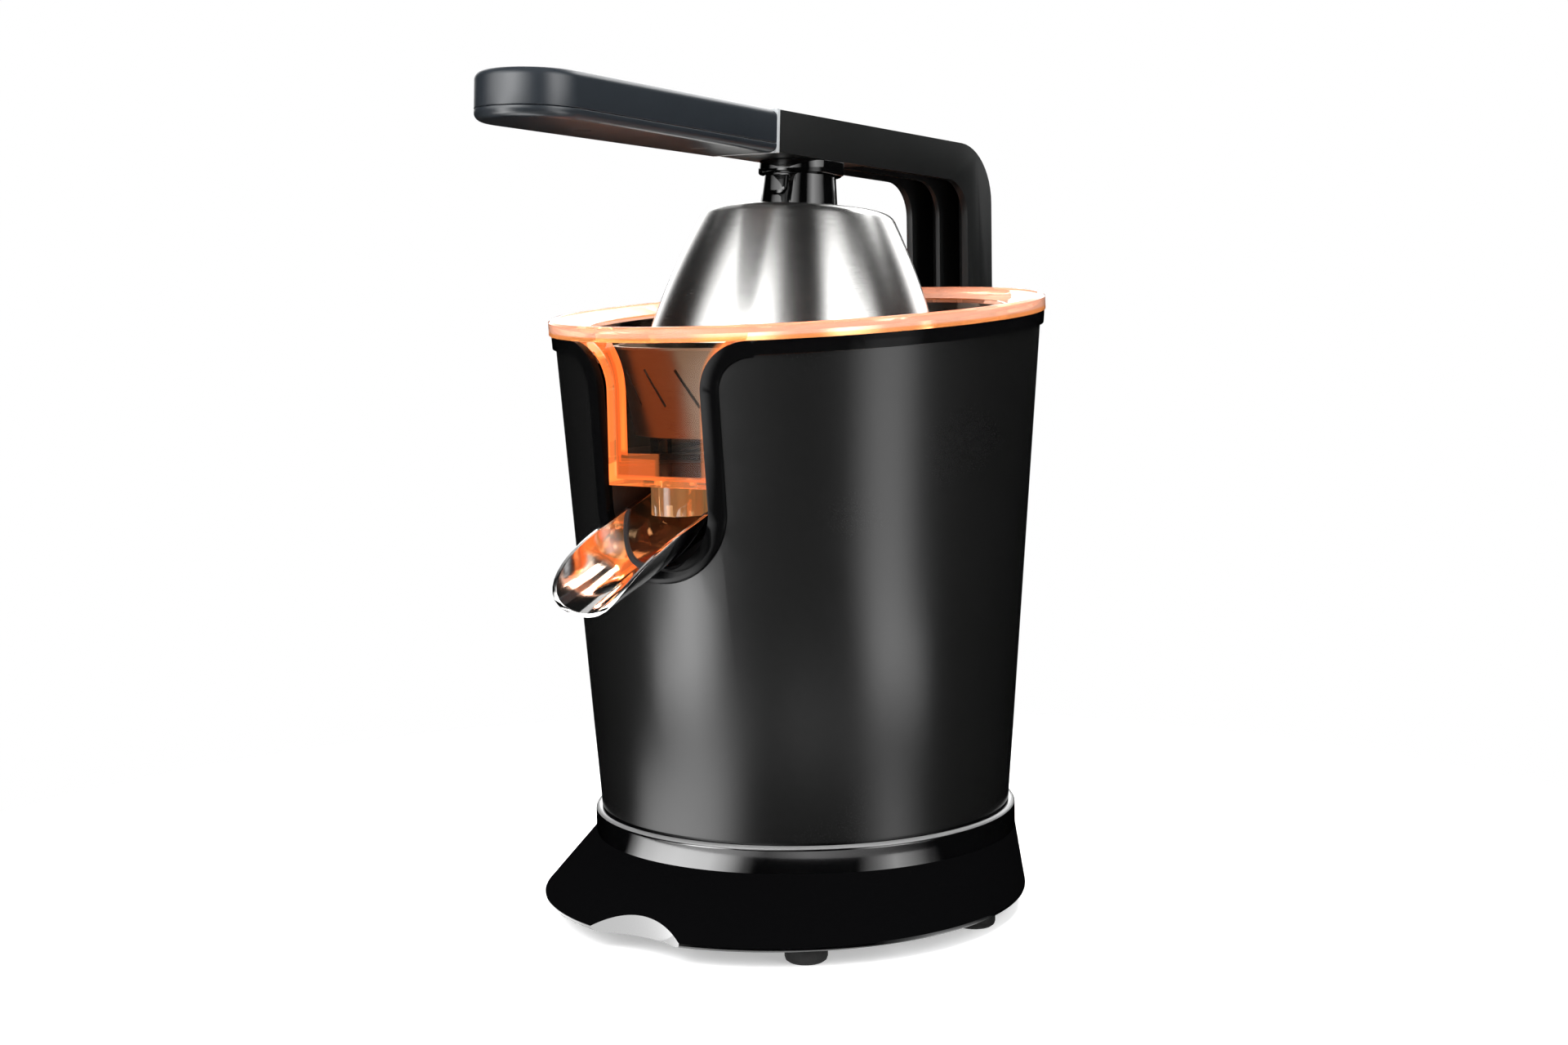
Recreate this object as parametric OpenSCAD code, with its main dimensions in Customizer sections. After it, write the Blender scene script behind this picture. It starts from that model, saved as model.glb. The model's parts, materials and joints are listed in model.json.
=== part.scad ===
// Electric citrus press with a lever arm, built as separate pieces.
// Millimetres, +Z up, the front (spout side) faces -Y, the right side +X.
// All pieces are drawn about the vertical body axis and moved together so
// that the origin is the bottom centre of the whole object.

/* [Base] */
// Height of the rubber feet below the base
foot_h = 6.5; // [4:0.5:10]
// Radius of a rubber foot
foot_r = 8; // [6:0.5:10]
// Distance of the feet's middle inside the base's widest line
foot_inset = 13; // [12.6:0.1:22]
// Distance by which the base's widest line stands out past the body's foot
base_flare = 14; // [11:0.5:20]
// Distance by which the base circle stands forward of the body axis
base_offset = 14.5; // [4:0.5:18]
// Rounding of the base's lower edge
base_round = 2; // [1:0.5:8]
// Height of the sloping part of the base
base_slope_h = 23.2; // [18:0.2:40]
// Height of the upright collar at the top of the base
collar_h = 10.3; // [3:0.1:14]
// Step from the collar in to the body
collar_step = 2.6; // [1.5:0.1:5]
// Radius of the hollow for a glass in the front of the base
recess_r = 50; // [30:1:80]
// Half the width of that hollow at the lower edge
recess_half = 21.5; // [15:0.5:28]

/* [Body] */
// Radius of the body at its foot
body_r = 82; // [78:0.5:88]
// Height of the body wall on the axis, from the base to the trim
body_h = 187; // [180:1:200]
// Outward lean of the body wall, degrees
body_taper = 4.2; // [3:0.1:5]
// Slope of the top of the body, degrees
rim_tilt = 3.5; // [2:0.1:4.5]
// Wall of the plastic mouldings
wall = 2.4; // [1.6:0.1:3]
// Height of the gloss trim band
trim_h = 5.5; // [4:0.5:8]
// Distance by which the trim stands proud of the body
trim_proud = 1.4; // [0.8:0.1:2]
// Width of the trim frame round the front opening
trim_w = 6; // [4:0.5:8]
// Half the width of the front opening, outside the trim
open_half = 30.4; // [29:0.2:34]
// Depth of the opening's lowest point below the trim band
open_depth = 89.5; // [86:0.5:94]
// Radius of the opening's lower corners
open_round = 28; // [20:1:29]
// Radius of the flare at the opening's upper corners
open_flare = 13; // [8:0.5:18]

/* [Bowl] */
// Gap between the body wall and the cup that holds the bowl
cup_gap = 1.65; // [1:0.05:4]
// Gap between the cup and the bowl
bowl_gap = 0.8; // [0.4:0.1:1.5]
// Overhang of the bowl's flange past the trim
flange_over = 0.65; // [0.3:0.05:2]
// Height of the flange's upright lip
lip_h = 5.7; // [4:0.1:9]
// Height of the bowl's floor below the trim band
bowl_depth = 45.5; // [42:0.5:48]
// Depth of the outlet sump below the trim band
sump_depth = 54; // [52:0.5:56]
// Distance of the window panel behind the body's outer face
window_in = 4; // [3:0.1:6]
// Outer radius of the outlet nozzle
nozzle_r = 11; // [8:0.5:13]
// Length of the outlet nozzle
nozzle_l = 11; // [7:0.5:12]
// Distance of the nozzle behind the window panel
nozzle_in = 13; // [12.5:0.5:16]
// Gap between the bowl and the strainer's top
strainer_gap = 10.4; // [8:0.2:14]
// Height of the strainer
strainer_h = 34; // [28:0.5:38]
// Sheet thickness of the strainer
strainer_t = 1; // [0.6:0.1:1.4]
// Number of slits round the strainer
slits = 24; // [12:1:30]
// Base radius of the reaming cone
cone_r = 38; // [32:0.5:42]
// Height of the reaming cone
cone_h = 48; // [40:0.5:50]
// Number of ribs on the cone
cone_ribs = 10; // [6:1:14]

/* [Arm] */
// Distance of the hinge pin behind the body wall
pin_out = 16.9; // [16.7:0.1:20]
// Height of the hinge pin below the trim band
pin_drop = 6; // [4:0.5:10]
// Radius of the hinge pin
pin_r = 4; // [3:0.25:5]
// Width of the arm
arm_w = 31.2; // [26:0.4:34]
// Depth of the upright post, front to rear
post_d = 19.5; // [17:0.25:19.5]
// Height of the arm's top above the hinge pin, over the body axis
arm_top = 89.8; // [86:0.2:96]
// Rise of the arm towards the grip, degrees
arm_rise = 3.6; // [1:0.1:5]
// Thickness of the arm
arm_t = 16; // [14:0.25:17]
// Outer radius of the arm's bend
bend_r = 25; // [20:1:32]
// Inner radius of the arm's bend
bend_in_r = 15; // [8:0.5:18]
// Distance of the grip's seam in front of the body axis
seam_y = 31.5; // [28:0.5:45]
// Length of the grip
grip_l = 137.4; // [115:0.2:150]
// Half the width of the grip at its rounded end
grip_half = 20.5; // [18:0.5:24]
// Thickness of the grip
grip_t = 16.75; // [15:0.25:20]
// Thickness of the grip's lower cover
cover_t = 3.75; // [3:0.25:5]
// Angle by which the arm stands above its lowest position, degrees
arm_raise = 5.5; // [3:0.1:7]

/* [Dome] */
// Height of the press dome
dome_h = 55; // [50:0.5:58]
// Outer radius of the dome at its open end
dome_r = 58.5; // [54:0.5:60]
// Outer radius of the dome at its top
dome_top_r = 38.5; // [32:0.5:42]
// Rounding of the dome's top edge
dome_round = 6; // [3:0.5:9]
// Bulge of the dome's side
dome_bulge = 1.6; // [0.5:0.1:4]
// Sheet thickness of the dome
dome_t = 1.2; // [0.8:0.1:1.6]
// Height of the dome's top above the trim band when the arm is down
dome_top_up = 37.3; // [35:0.1:42]
// Distance of the dome's axis in front of the body axis when the arm is down
dome_fore = 2.2; // [0:0.1:4]
// Radius of the neck under the arm
neck_r = 14.3; // [12.5:0.1:16]
// Height of the neck
neck_h = 13.8; // [11:0.2:16]
// Radius of the boss under the arm, whose sides are flush with the arm's
boss_r = 16.5; // [16:0.1:20]
// Length of the boss behind the dome's axis
boss_back = 8; // [6:0.5:16]
// Width of the dome's release tab
tab_w = 8.5; // [6:0.25:10]
// Travel of the release tab
tab_travel = 1.2; // [0.8:0.1:1.5]

/* [Spout] */
// Outer radius of the spout's trough
spout_r = 21; // [18:0.25:22]
// Depth of the trough from its rim to its outer floor
spout_depth = 15.5; // [13:0.25:17]
// Sheet thickness of the steel lip
lip_t = 1.6; // [1.2:0.1:2.2]
// Fall of the trough, degrees
spout_fall = 20; // [15:0.5:24]
// Distance of the spout's pivot behind the window panel
pivot_in = 18; // [16:0.5:20]
// Height of the pivot below the trim band
pivot_drop = 67; // [66:0.5:68.5]
// Height of the pivot above the trough's outer floor
pivot_up = 7.5; // [6:0.25:8]
// Length of the trough in front of the pivot
spout_l = 67; // [56:0.5:74]
// Radius of a pivot pin
pivot_r = 3; // [2:0.25:4]

/* [Drive] */
// Teeth of the motor pinion
pinion_teeth = 12; // [12:1:14]
// Teeth of the large idler gear
idler_teeth = 48; // [44:1:50]
// Teeth of the small idler gear
step_teeth = 14; // [13:1:16]
// Teeth of the output gear
output_teeth = 56; // [52:1:57]
// Module of the first gear pair
module_1 = 1; // [0.9:0.05:1.05]
// Module of the second gear pair
module_2 = 1.25; // [1.15:0.05:1.25]
// Face width of the gears
gear_w = 9; // [7:0.5:10]
// Play between the teeth, along the pitch circle
backlash = 0.5; // [0.3:0.05:0.7]
// Outer radius of the motor's stator
stator_r = 38; // [34:0.5:40]
// Height of the motor's stator
stator_h = 40; // [30:1:46]
// Radius of the motor shaft and the idler's axle
axle_r = 4; // [3.5:0.1:4.2]
// Width across the flats of the drive shaft
hex_w = 10; // [9:0.1:10.4]
// Radius of the drive shaft at its seal
shaft_r = 6; // [5.8:0.05:6.2]
// Travel of the cone when it is pressed
press_travel = 3; // [2:0.25:3.5]
// Wire of the return spring
wire_d = 1.4; // [1:0.1:1.6]
// Turns of the return spring
spring_turns = 4; // [3:0.5:4]
// Bore of the cord's inlet bush
inlet_r = 3.5; // [3:0.1:4]

/* [Fits] */
// Radial clearance of a shaft that turns in a bore
run_fit = 0.05; // [0.02:0.01:0.1]
// Clearance of a sliding fit
slide_fit = 0.15; // [0.1:0.05:0.25]
// Gap between fixed mouldings
seam = 0.15; // [0.1:0.05:0.3]
// Gap kept between pieces that move past each other
free_gap = 0.5; // [0.3:0.1:0.8]
// Radius of a screw's shank
screw_r = 1.6; // [1.4:0.1:2]
// Radius of a screw's head
head_r = 3.2; // [2.8:0.1:3.6]
// Height of a screw's head
head_h = 2; // [1.6:0.1:2.4]

/* [Hidden] */
$fn = 96;
hull_fn = 72;
far = 400;

// Heights on the body axis, from the floor up
base_r = body_r + base_flare;
foot_circle = base_r - foot_inset;
slope_z = foot_h + base_slope_h;
ledge_z = slope_z + collar_h;
trim_z = ledge_z + body_h;
flange_z = trim_z + trim_h;
collar_r = body_r + collar_step;

// Base plate, recessed a little into the skirt
plate_recess = 1;
plate_t = 3;
plate_z = foot_h + plate_recess;
plate_top = plate_z + plate_t;
plate_r = base_r - base_round - wall - seam;
foot_plug_r = 3;
foot_angles = [42, 98, 156];
screw_angles = [68, 126];
base_boss_r = 4.5;
base_bite = 10;
screw_bite = 5;
hole_end = 1;
ledge_w = 12;
vent_pitch = 9;
vent_w = 4;
vent_l = 44;
vent_front = 30;

// Front opening, as outlines in the X-Z plane
open_low = trim_z - open_depth;
rim_drop = body_radius(trim_z) * tan(rim_tilt);
flare_x = open_half + open_flare;
flare_z = trim_z - rim_drop - open_flare;

// Cord inlet, through the rear of the base
inlet_wall = 2.5;
inlet_l = 14;
inlet_z = (foot_h + slope_z) / 2 + 2;
inlet_flange = 2.5;
inlet_y = collar_r - collar_step;
inlet_seat = collar_step + seam;

// Housing under the bowl
deck_t = 3;
deck_gap = 1.5;
deck_top = trim_z - bowl_depth - deck_gap;
deck_z = deck_top - deck_t;
cup_r = body_radius(deck_z) - 2 * wall - cup_gap;
alcove_half = open_half - trim_w;
window_y = body_radius(deck_z) - window_in;
alcove_back = window_y - 38;
alcove_low = open_low + 2;
housing_lip = 3;
housing_over = 20;
seal_wall = 6;
seal_r = shaft_r + seal_wall;
seal_rim = 2;
seal_rim_h = 1;

// Bowl
bowl_r = cup_r - bowl_gap - wall;
flange_r = body_radius(flange_z) + trim_proud + flange_over;
bowl_z = trim_z - bowl_depth;
sump_z = trim_z - sump_depth;
window_gap = 0.6;
sump_half = alcove_half - window_gap;
flange_t = 2;
sump_back = window_y - 30;
nozzle_y = window_y - nozzle_in;
chimney_r = shaft_r + 1.5;
chimney_h = 24;
nozzle_wall = 2.4;
strainer_r = bowl_r - strainer_gap;
strainer_foot_r = strainer_r - 6;
seat_r = strainer_foot_r - 8;
seat_h = 6;
lap = 0.1;

// Strainer and cone, both stood on the bowl
strainer_z = bowl_z + wall + seat_h;
strainer_hub_r = chimney_r + wall + 1.2;
strainer_hub_h = 8;
slit_w = 1.3;
slit_l = 17;
slit_lean = 35;
slit_mid = 0.55;
floor_slit_l = 30;
cone_z = strainer_z + strainer_t + press_travel + 6;
cone_wall_t = 2.6;
cone_hub_r = hex_w / 2 / cos(30) + 3;
cone_hub_z = bowl_z + chimney_h + press_travel + 1;
rib_w = 3.2;
rib_out = 2.2;

// Output shaft and gears, from the plate up
plate_2_t = 4;
end_play = 0.4;
idler_hub_t = 3;
idler_hole_r = 4;
output_hole_r = 6;
gear_gap = 6;
drive_drop = 31;
output_z = deck_z - drive_drop;
idler_z = output_z - gear_w - 2.5;
motor_plate_z = idler_z - gear_gap - plate_2_t;
motor_plate_top = motor_plate_z + plate_2_t;
motor_plate_r = 72;
cover_roof_t = 3;
cover_roof_z = output_z + gear_w + 3;
cover_top = cover_roof_z + cover_roof_t;
centre_1 = (pinion_teeth + idler_teeth) * module_1 / 2;
centre_2 = (step_teeth + output_teeth) * module_2 / 2;
idler_y = centre_2;
motor_y = centre_2 - centre_1;
output_tip = (output_teeth / 2 + 1) * module_2;
idler_tip = (idler_teeth / 2 + 1) * module_1;
cover_wall = 2.6;
cover_gap = 2;
lobe_out = output_tip + cover_gap + cover_wall;
lobe_idler = idler_tip + cover_gap + cover_wall;
hub_r = hex_w / 2 / cos(30) + 5;
spring_bore = hub_r - 2.4;
spring_mean = spring_bore - wire_d / 2 - 0.3;
hub_low = output_z - 1.5;
hub_top = deck_z - 6;
spring_seat = output_z + gear_w + 3;
collar_bottom = hub_top + 0.6;
collar_t = 2;
bush_wall = 3;
bush_over = 4;
bush_z = output_z + gear_w + end_play;
bush_top = cover_top + bush_over;
clip_t = 1.2;
shaft_end = hub_low - 3;
cone_hex_w = hex_w - 0.8;
cone_hex_top = cone_hub_z + 22;
pillar_r = 4.5;
pillar_spots = [[30, 14], [-30, 14], [14, 64], [-14, 64]];
ear_r = 5.5;
ear_h = screw_bite + hole_end;
ear_spots = [[42, -12], [-42, -12], [30, 58], [-30, 58]];

// Motor, hung under its plate
can_wall = 2;
can_r = stator_r + seam + can_wall;
coil_r = 4.5;
coil_mean = stator_r - 8;
fan_h = 8;
stator_z = motor_plate_z - stator_h - 2 * coil_r - 4;
can_z = stator_z - 2 * coil_r - fan_h - 8;
bore_gap = 0.6;
slot_depth = 6;
slot_w = 2;
commutator_t = 7;
commutator_h = 10;
stator_bore = stator_r - 14;
motor_bush_r = axle_r + 3;
motor_bush_l = 6;
motor_ear_r = 5;
motor_ear_h = 8;
motor_ear = can_r + 3;

// Switch under the drive shaft
switch_size = [20, 8, 8];
plunger_r = 2;
plunger_head_r = 3;
plunger_head = 1;
switch_top = motor_plate_top + switch_size[2];
plunger_top = shaft_end - 0.3;
plunger_low = switch_top - press_travel - 1;

// Spout, drawn level in its own frame and then tilted about its pivot
pivot_y = window_y - pivot_in;
pivot_z = trim_z - pivot_drop;
trough_t = 2.2;
gasket_t = 1.2;
seam_lean = 54;
spout_seam = 32;
rim_start = 28;
beak_nose = 1.5;
trough_end_t = 2.2;
// The inside of the trough's end wall stays behind the nozzle
trough_reach = pivot_y - nozzle_y + nozzle_r + 2 * free_gap;
spout_back = (trough_reach + (spout_depth - pivot_up) * sin(spout_fall)) / cos(spout_fall) + trough_end_t;

// Arm
pin_z = trim_z - pin_drop;
pin_y = body_radius(pin_z) + pin_out;
knuckle_r = post_d / 2;
ear_t = 5.5;
ear_gap = 0.6;
post_rear = pin_y + knuckle_r;
post_front = pin_y - knuckle_r;
arm_slope = tan(arm_rise);
skin = 3;
rib_t = 2;
rib_set = 0.6;
tongue_half = 10;
tongue_t = 8;
tongue_stop = 24;
grip_screw_y = [28, 92];
collar_plate_t = 1.8;
cover_line = grip_t - cover_t + 0.8;
grip_tip_y = -(seam_y + grip_l * cos(arm_rise) + cover_line * sin(arm_rise));
grip_edge = 2.5;
bracket_h = 28;
bracket_half = arm_w / 2 + ear_gap + ear_t;
bracket_gap = 2.5;
bracket_screw_x = 10;
clip_w = 1.6;
clip_rim = 2.5;
clip_slot = 2.4;
pin_end = 1;

// Dome, drawn upright in its lowest position and then raised with the arm
dome_top_z = trim_z + dome_top_up;
dome_z = dome_top_z - dome_h;
neck_top = dome_top_z + neck_h;
// The side leans in at its top, and the rounded edge starts from there
dome_lean = atan((dome_r - dome_top_r + 4 * dome_bulge) / (dome_h - dome_round / 2));
dome_side_h = dome_h - dome_round * (1 - sin(dome_lean));
neck_flare = 1.2;
stem_r = 8;
stem_h = 3.5;
boss_drop = 0.4;
boss_h = 40;
tab_gap = 0.35;
tab_depth = 3;
tab_h = 7;
tab_drop = 1.2;
tab_round = 2.5;
tab_z = neck_top - tab_drop - tab_h;

// The whole object is moved so that its box is centred over the origin
axis_y = -(post_rear + grip_tip_y) / 2;

// Outer radius of the body wall at a height
function body_radius(z) = body_r + (z - ledge_z) * tan(body_taper);
// Height of the arm's top at a distance from the body axis
function arm_top_z(y) = pin_z + arm_top - y * arm_slope;
function arm_under_z(y) = arm_top_z(y) - arm_t / cos(arm_rise);
// Points along an arc from angle a to angle b
function arc(cx, cy, r, a, b, n = 12) =
  [for (i = [0:n]) [cx + r * cos(a + (b - a) * i / n), cy + r * sin(a + (b - a) * i / n)]];

// Involute gear outline: the flank runs from the root to the tip of a tooth
function involute_turn(a) = tan(a) * 180 / PI - a;
function flank_angle(base, r) = r <= base ? 0 : involute_turn(acos(base / r));
function tooth(n, m, k) =
  let (
    pitch = n * m / 2,
    base = pitch * cos(20),
    root = pitch - 1.2 * m,
    tip = pitch + 0.95 * m,
    half = 90 / n - (backlash / 4 / pitch) * 180 / PI + flank_angle(base, pitch),
    turn = 360 / n * k,
    steps = 4
  )
  concat(
    [for (i = [0:steps]) let (r = root + (tip - root) * i / steps, a = turn - half + flank_angle(base, r))
      [r * cos(a), r * sin(a)]],
    [for (i = [0:steps]) let (r = tip - (tip - root) * i / steps, a = turn + half - flank_angle(base, r))
      [r * cos(a), r * sin(a)]]
  );
function gear_outline(n, m) = [for (k = [0:n - 1]) each tooth(n, m, k)];

// A tube of round wire swept along a helix, as points and triangles
function helix_points(r, low, height, turns, wire, rings, sides) =
  [for (i = [0:rings - 1]) let (t = i / (rings - 1), a = 360 * turns * t)
    for (j = [0:sides - 1]) let (b = 360 * j / sides, q = r + wire / 2 * cos(b))
      [q * cos(a), q * sin(a), low + height * t + wire / 2 * sin(b)]];
function tube_faces(rings, sides) = concat(
  [for (i = [0:rings - 2]) for (j = [0:sides - 1])
    [i * sides + j, (i + 1) * sides + j, i * sides + (j + 1) % sides]],
  [for (i = [0:rings - 2]) for (j = [0:sides - 1])
    [(i + 1) * sides + j, (i + 1) * sides + (j + 1) % sides, i * sides + (j + 1) % sides]],
  [for (j = [1:sides - 2]) [0, j, j + 1]],
  [for (j = [1:sides - 2]) let (e = (rings - 1) * sides) [e, e + j + 1, e + j]]
);

// Moves a piece from the body axis into the object's own frame
module place() {
  translate([0, axis_y, 0]) children();
}

// Turns a piece about the hinge pin, from the lowest position to the raised one
module raised() {
  translate([0, pin_y, pin_z]) rotate([-arm_raise, 0, 0]) translate([0, -pin_y - dome_fore, -pin_z]) children();
}

// Turns a piece drawn level into the spout's fall, about the spout's pivot
module spout_frame() {
  translate([0, -pivot_y, pivot_z]) rotate([spout_fall, 0, 0]) children();
}

// Lays a piece drawn level along the rising arm, with its origin at the grip's seam
module grip_frame() {
  translate([0, -seam_y, arm_top_z(-seam_y)]) rotate([-arm_rise, 0, 0]) children();
}

// All space above the sloping rim plane that crosses the axis at height z
module above_rim(z) {
  translate([0, 0, z]) rotate([rim_tilt, 0, 0]) translate([-far / 2, -far / 2, 0]) cube(far);
}

// Conical wall of the body, from outside to inside of its outer face
module body_wall(out, into, low = ledge_z, high = trim_z + 30) {
  rotate_extrude() polygon([
    [body_radius(low) - into, low],
    [body_radius(low) + out, low],
    [body_radius(high) + out, high],
    [body_radius(high) - into, high]
  ]);
}

// Solid cone that just fills the inside of the body wall
module body_core(gap, low, high) {
  translate([0, 0, low])
    cylinder(r1 = body_radius(low) - wall - gap, r2 = body_radius(high) - wall - gap, h = high - low);
}

// Outline of the front opening, drawn in by an inset
module opening_outline(inset) {
  half = open_half - inset;
  round_r = open_round - inset;
  low = open_low + inset;
  difference() {
    union() {
      translate([-half, low + round_r]) square([2 * half, far / 2]);
      translate([-(half - round_r), low]) square([2 * (half - round_r), round_r + 1]);
      for (side = [-1, 1]) translate([side * (half - round_r), low + round_r]) circle(round_r);
      translate([-flare_x, flare_z]) square([2 * flare_x, far / 2]);
    }
    for (side = [-1, 1]) translate([side * flare_x, flare_z]) circle(flare_x - half);
  }
}

// Prism of the front opening, reaching forward from a plane behind it
module opening_prism(inset, back = 20) {
  translate([0, -back, 0]) rotate([90, 0, 0]) linear_extrude(far / 2) opening_outline(inset);
}

// Pan-head screw along +Z, with its head below z = 0
module screw(length) {
  cylinder(r = screw_r, h = length, $fn = 24);
  translate([0, 0, -head_h]) cylinder(r = head_r, h = head_h, $fn = 24);
}

// Places children on the base circle, mirrored to both sides, measured from the front
module on_base(angles, r) {
  for (a = angles, side = [-1, 1])
    translate([side * r * sin(a), -base_offset - r * cos(a), 0]) children();
}

// Stacked discs whose hull is the rounded, oblique form of the base
module base_form(inset) {
  hull() {
    for (a = [0:22.5:90])
      translate([0, -base_offset, foot_h + base_round * (1 - cos(a))])
        cylinder(r = base_r - base_round + base_round * sin(a) - inset, h = 0.01, $fn = hull_fn);
    translate([0, 0, slope_z - inset]) cylinder(r = collar_r - inset, h = 0.01, $fn = hull_fn);
  }
}

module recess_cylinder(grow) {
  depth = recess_r - sqrt(recess_r * recess_r - recess_half * recess_half);
  edge_y = base_offset + sqrt(base_r * base_r - recess_half * recess_half);
  translate([0, -(edge_y - depth + recess_r), 0]) cylinder(r = recess_r + grow, h = ledge_z);
}

module rubber_feet() {
  color("#151515") on_base(foot_angles, foot_circle) {
    rotate_extrude($fn = 32) polygon([
      [0, 0], [foot_r - 1.5, 0], [foot_r - 0.4, 0.8], [foot_r, 2],
      [foot_r, plate_z], [0, plate_z]
    ]);
    translate([0, 0, plate_z]) cylinder(r = foot_plug_r, h = plate_t, $fn = 32);
  }
}

module base_plate() {
  color("#1a1a1a") difference() {
    translate([0, -base_offset, plate_z]) cylinder(r = plate_r, h = plate_t);
    recess_cylinder(wall + seam);
    on_base(foot_angles, foot_circle)
      translate([0, 0, plate_z - 1]) cylinder(r = foot_plug_r + run_fit, h = plate_t + 2, $fn = 32);
    on_base(screw_angles, foot_circle)
      translate([0, 0, plate_z - 1]) cylinder(r = screw_r + seam, h = plate_t + 2, $fn = 24);
    for (i = [-4:4]) translate([i * vent_pitch - vent_w / 2, -vent_front, plate_z - 1])
      cube([vent_w, vent_l, plate_t + 2]);
  }
}

module base_screws() {
  color("#8a8d90") on_base(screw_angles, foot_circle) translate([0, 0, plate_z]) screw(plate_t + base_bite);
}

module base_skirt() {
  color("#0c0c0d") difference() {
    union() {
      base_form(0);
      translate([0, 0, slope_z]) cylinder(r = collar_r, h = collar_h);
    }
    difference() {
      union() {
        base_form(wall);
        translate([0, -base_offset, foot_h - 2]) cylinder(r = plate_r + seam, h = plate_recess + plate_t + 2);
      }
      recess_cylinder(wall);
      on_base(screw_angles, foot_circle)
        translate([0, 0, plate_top]) cylinder(r = base_boss_r, h = slope_z, $fn = 32);
    }
    translate([0, 0, foot_h]) cylinder(r = body_r - ledge_w, h = ledge_z);
    recess_cylinder(0);
    on_base(screw_angles, foot_circle)
      translate([0, 0, plate_top - hole_end]) cylinder(r = screw_r, h = base_bite + 2 * hole_end, $fn = 24);
    translate([0, inlet_y - inlet_l, inlet_z]) rotate([-90, 0, 0])
      cylinder(r = inlet_r + inlet_wall + seam, h = 2 * inlet_l, $fn = 32);
  }
}

module cord_inlet_bush() {
  color("#181818") translate([0, inlet_y, inlet_z]) rotate([-90, 0, 0]) difference() {
    union() {
      translate([0, 0, -inlet_l / 2]) cylinder(r = inlet_r + inlet_wall, h = inlet_l, $fn = 32);
      translate([0, 0, inlet_seat]) cylinder(r = inlet_r + inlet_wall + 2, h = inlet_flange, $fn = 32);
    }
    translate([0, 0, -inlet_l]) cylinder(r = inlet_r, h = 2 * inlet_l, $fn = 32);
  }
}

module body_shell() {
  shadow = 0.8;
  color("#1c1d1e") difference() {
    body_wall(0, wall);
    above_rim(trim_z);
    opening_prism(-seam);
    rotate_extrude() translate([body_r - 1, ledge_z - 1]) square([wall, shadow + 1]);
    bracket_screw_spots() cylinder(r = screw_r + seam, h = 3 * wall, center = true, $fn = 24);
  }
}

module body_trim() {
  color("#08080a") difference() {
    intersection() {
      body_wall(trim_proud, wall);
      union() {
        above_rim(trim_z + seam);
        opening_prism(0);
      }
    }
    above_rim(flange_z);
    opening_prism(trim_w);
  }
}

module inner_housing() {
  lip_z = trim_z - housing_lip;
  color("#101011") difference() {
    union() {
      difference() {
        intersection() {
          union() {
            translate([0, 0, deck_z]) cylinder(r = cup_r + wall, h = trim_z + housing_over - deck_z);
            above_rim(lip_z);
          }
          body_core(seam, deck_z, trim_z + housing_over);
        }
        translate([0, 0, deck_top]) cylinder(r = cup_r, h = far);
        above_rim(trim_z - seam);
      }
      intersection() {
        translate([-alcove_half - wall, -far / 2, alcove_low - wall])
          cube([2 * (alcove_half + wall), far / 2 - alcove_back + wall, deck_top - alcove_low + wall]);
        body_core(seam, alcove_low - wall, deck_top);
      }
    }
    translate([-alcove_half, -far / 2, alcove_low])
      cube([2 * alcove_half, far / 2 - alcove_back, far]);
    opening_prism(trim_w, window_y - 8);
    translate([0, 0, deck_z - 1]) cylinder(r = seal_r, h = deck_t + 2);
    translate([-far / 2, -pivot_y, pivot_z]) rotate([0, 90, 0]) cylinder(r = pivot_r + run_fit, h = far, $fn = 32);
  }
}

module shaft_seal() {
  color("#3a3a3a") translate([0, 0, deck_z - seal_rim_h]) difference() {
    union() {
      cylinder(r = seal_r - run_fit, h = deck_t + seal_rim_h);
      cylinder(r = seal_r + seal_rim, h = seal_rim_h);
    }
    translate([0, 0, -1]) cylinder(r = shaft_r + run_fit, h = far / 4);
  }
}

// Sump behind the window, or its hollow when inset by the wall, up to a sloping top
module sump_form(inset, top) {
  difference() {
    intersection() {
      translate([-far / 2, -(window_y - inset), sump_z + inset])
        cube([far, window_y - sump_back - 2 * inset, far / 4]);
      opening_prism(trim_w + window_gap + inset, sump_back - 10);
    }
    above_rim(top);
  }
}

module juice_bowl() {
  color([1, 0.45, 0.15, 0.6]) difference() {
    union() {
      difference() {
        translate([0, 0, bowl_z]) cylinder(r = bowl_r + wall, h = far / 4);
        above_rim(flange_z + flange_t);
      }
      sump_form(0, flange_z + lap);
      translate([0, 0, flange_z + 0.02]) rotate([rim_tilt, 0, 0]) rotate_extrude() polygon([
        [bowl_r + wall / 2, 0], [flange_r, 0], [flange_r, lip_h - 0.8], [flange_r - 0.8, lip_h],
        [flange_r - wall + 0.4, lip_h], [flange_r - wall, lip_h - 0.6], [bowl_r + wall / 2, flange_t]
      ]);
      translate([0, -nozzle_y, sump_z - nozzle_l]) cylinder(r = nozzle_r, h = nozzle_l + 1, $fn = 48);
    }
    difference() {
      union() {
        translate([0, 0, bowl_z + wall]) cylinder(r = bowl_r, h = far / 2);
        sump_form(wall, flange_z - lap);
      }
      translate([0, 0, bowl_z]) cylinder(r = chimney_r + wall, h = chimney_h);
      difference() {
        translate([0, 0, bowl_z]) cylinder(r = seat_r + wall, h = wall + seat_h);
        translate([0, 0, bowl_z]) cylinder(r = seat_r, h = far);
        translate([-sump_half + wall, -far, bowl_z]) cube([2 * (sump_half - wall), far, far]);
      }
    }
    translate([0, 0, bowl_z - 1]) cylinder(r = chimney_r, h = far);
    translate([0, -nozzle_y, sump_z - nozzle_l - 1])
      cylinder(r = nozzle_r - nozzle_wall, h = nozzle_l + 2 * wall, $fn = 48);
  }
}

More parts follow.
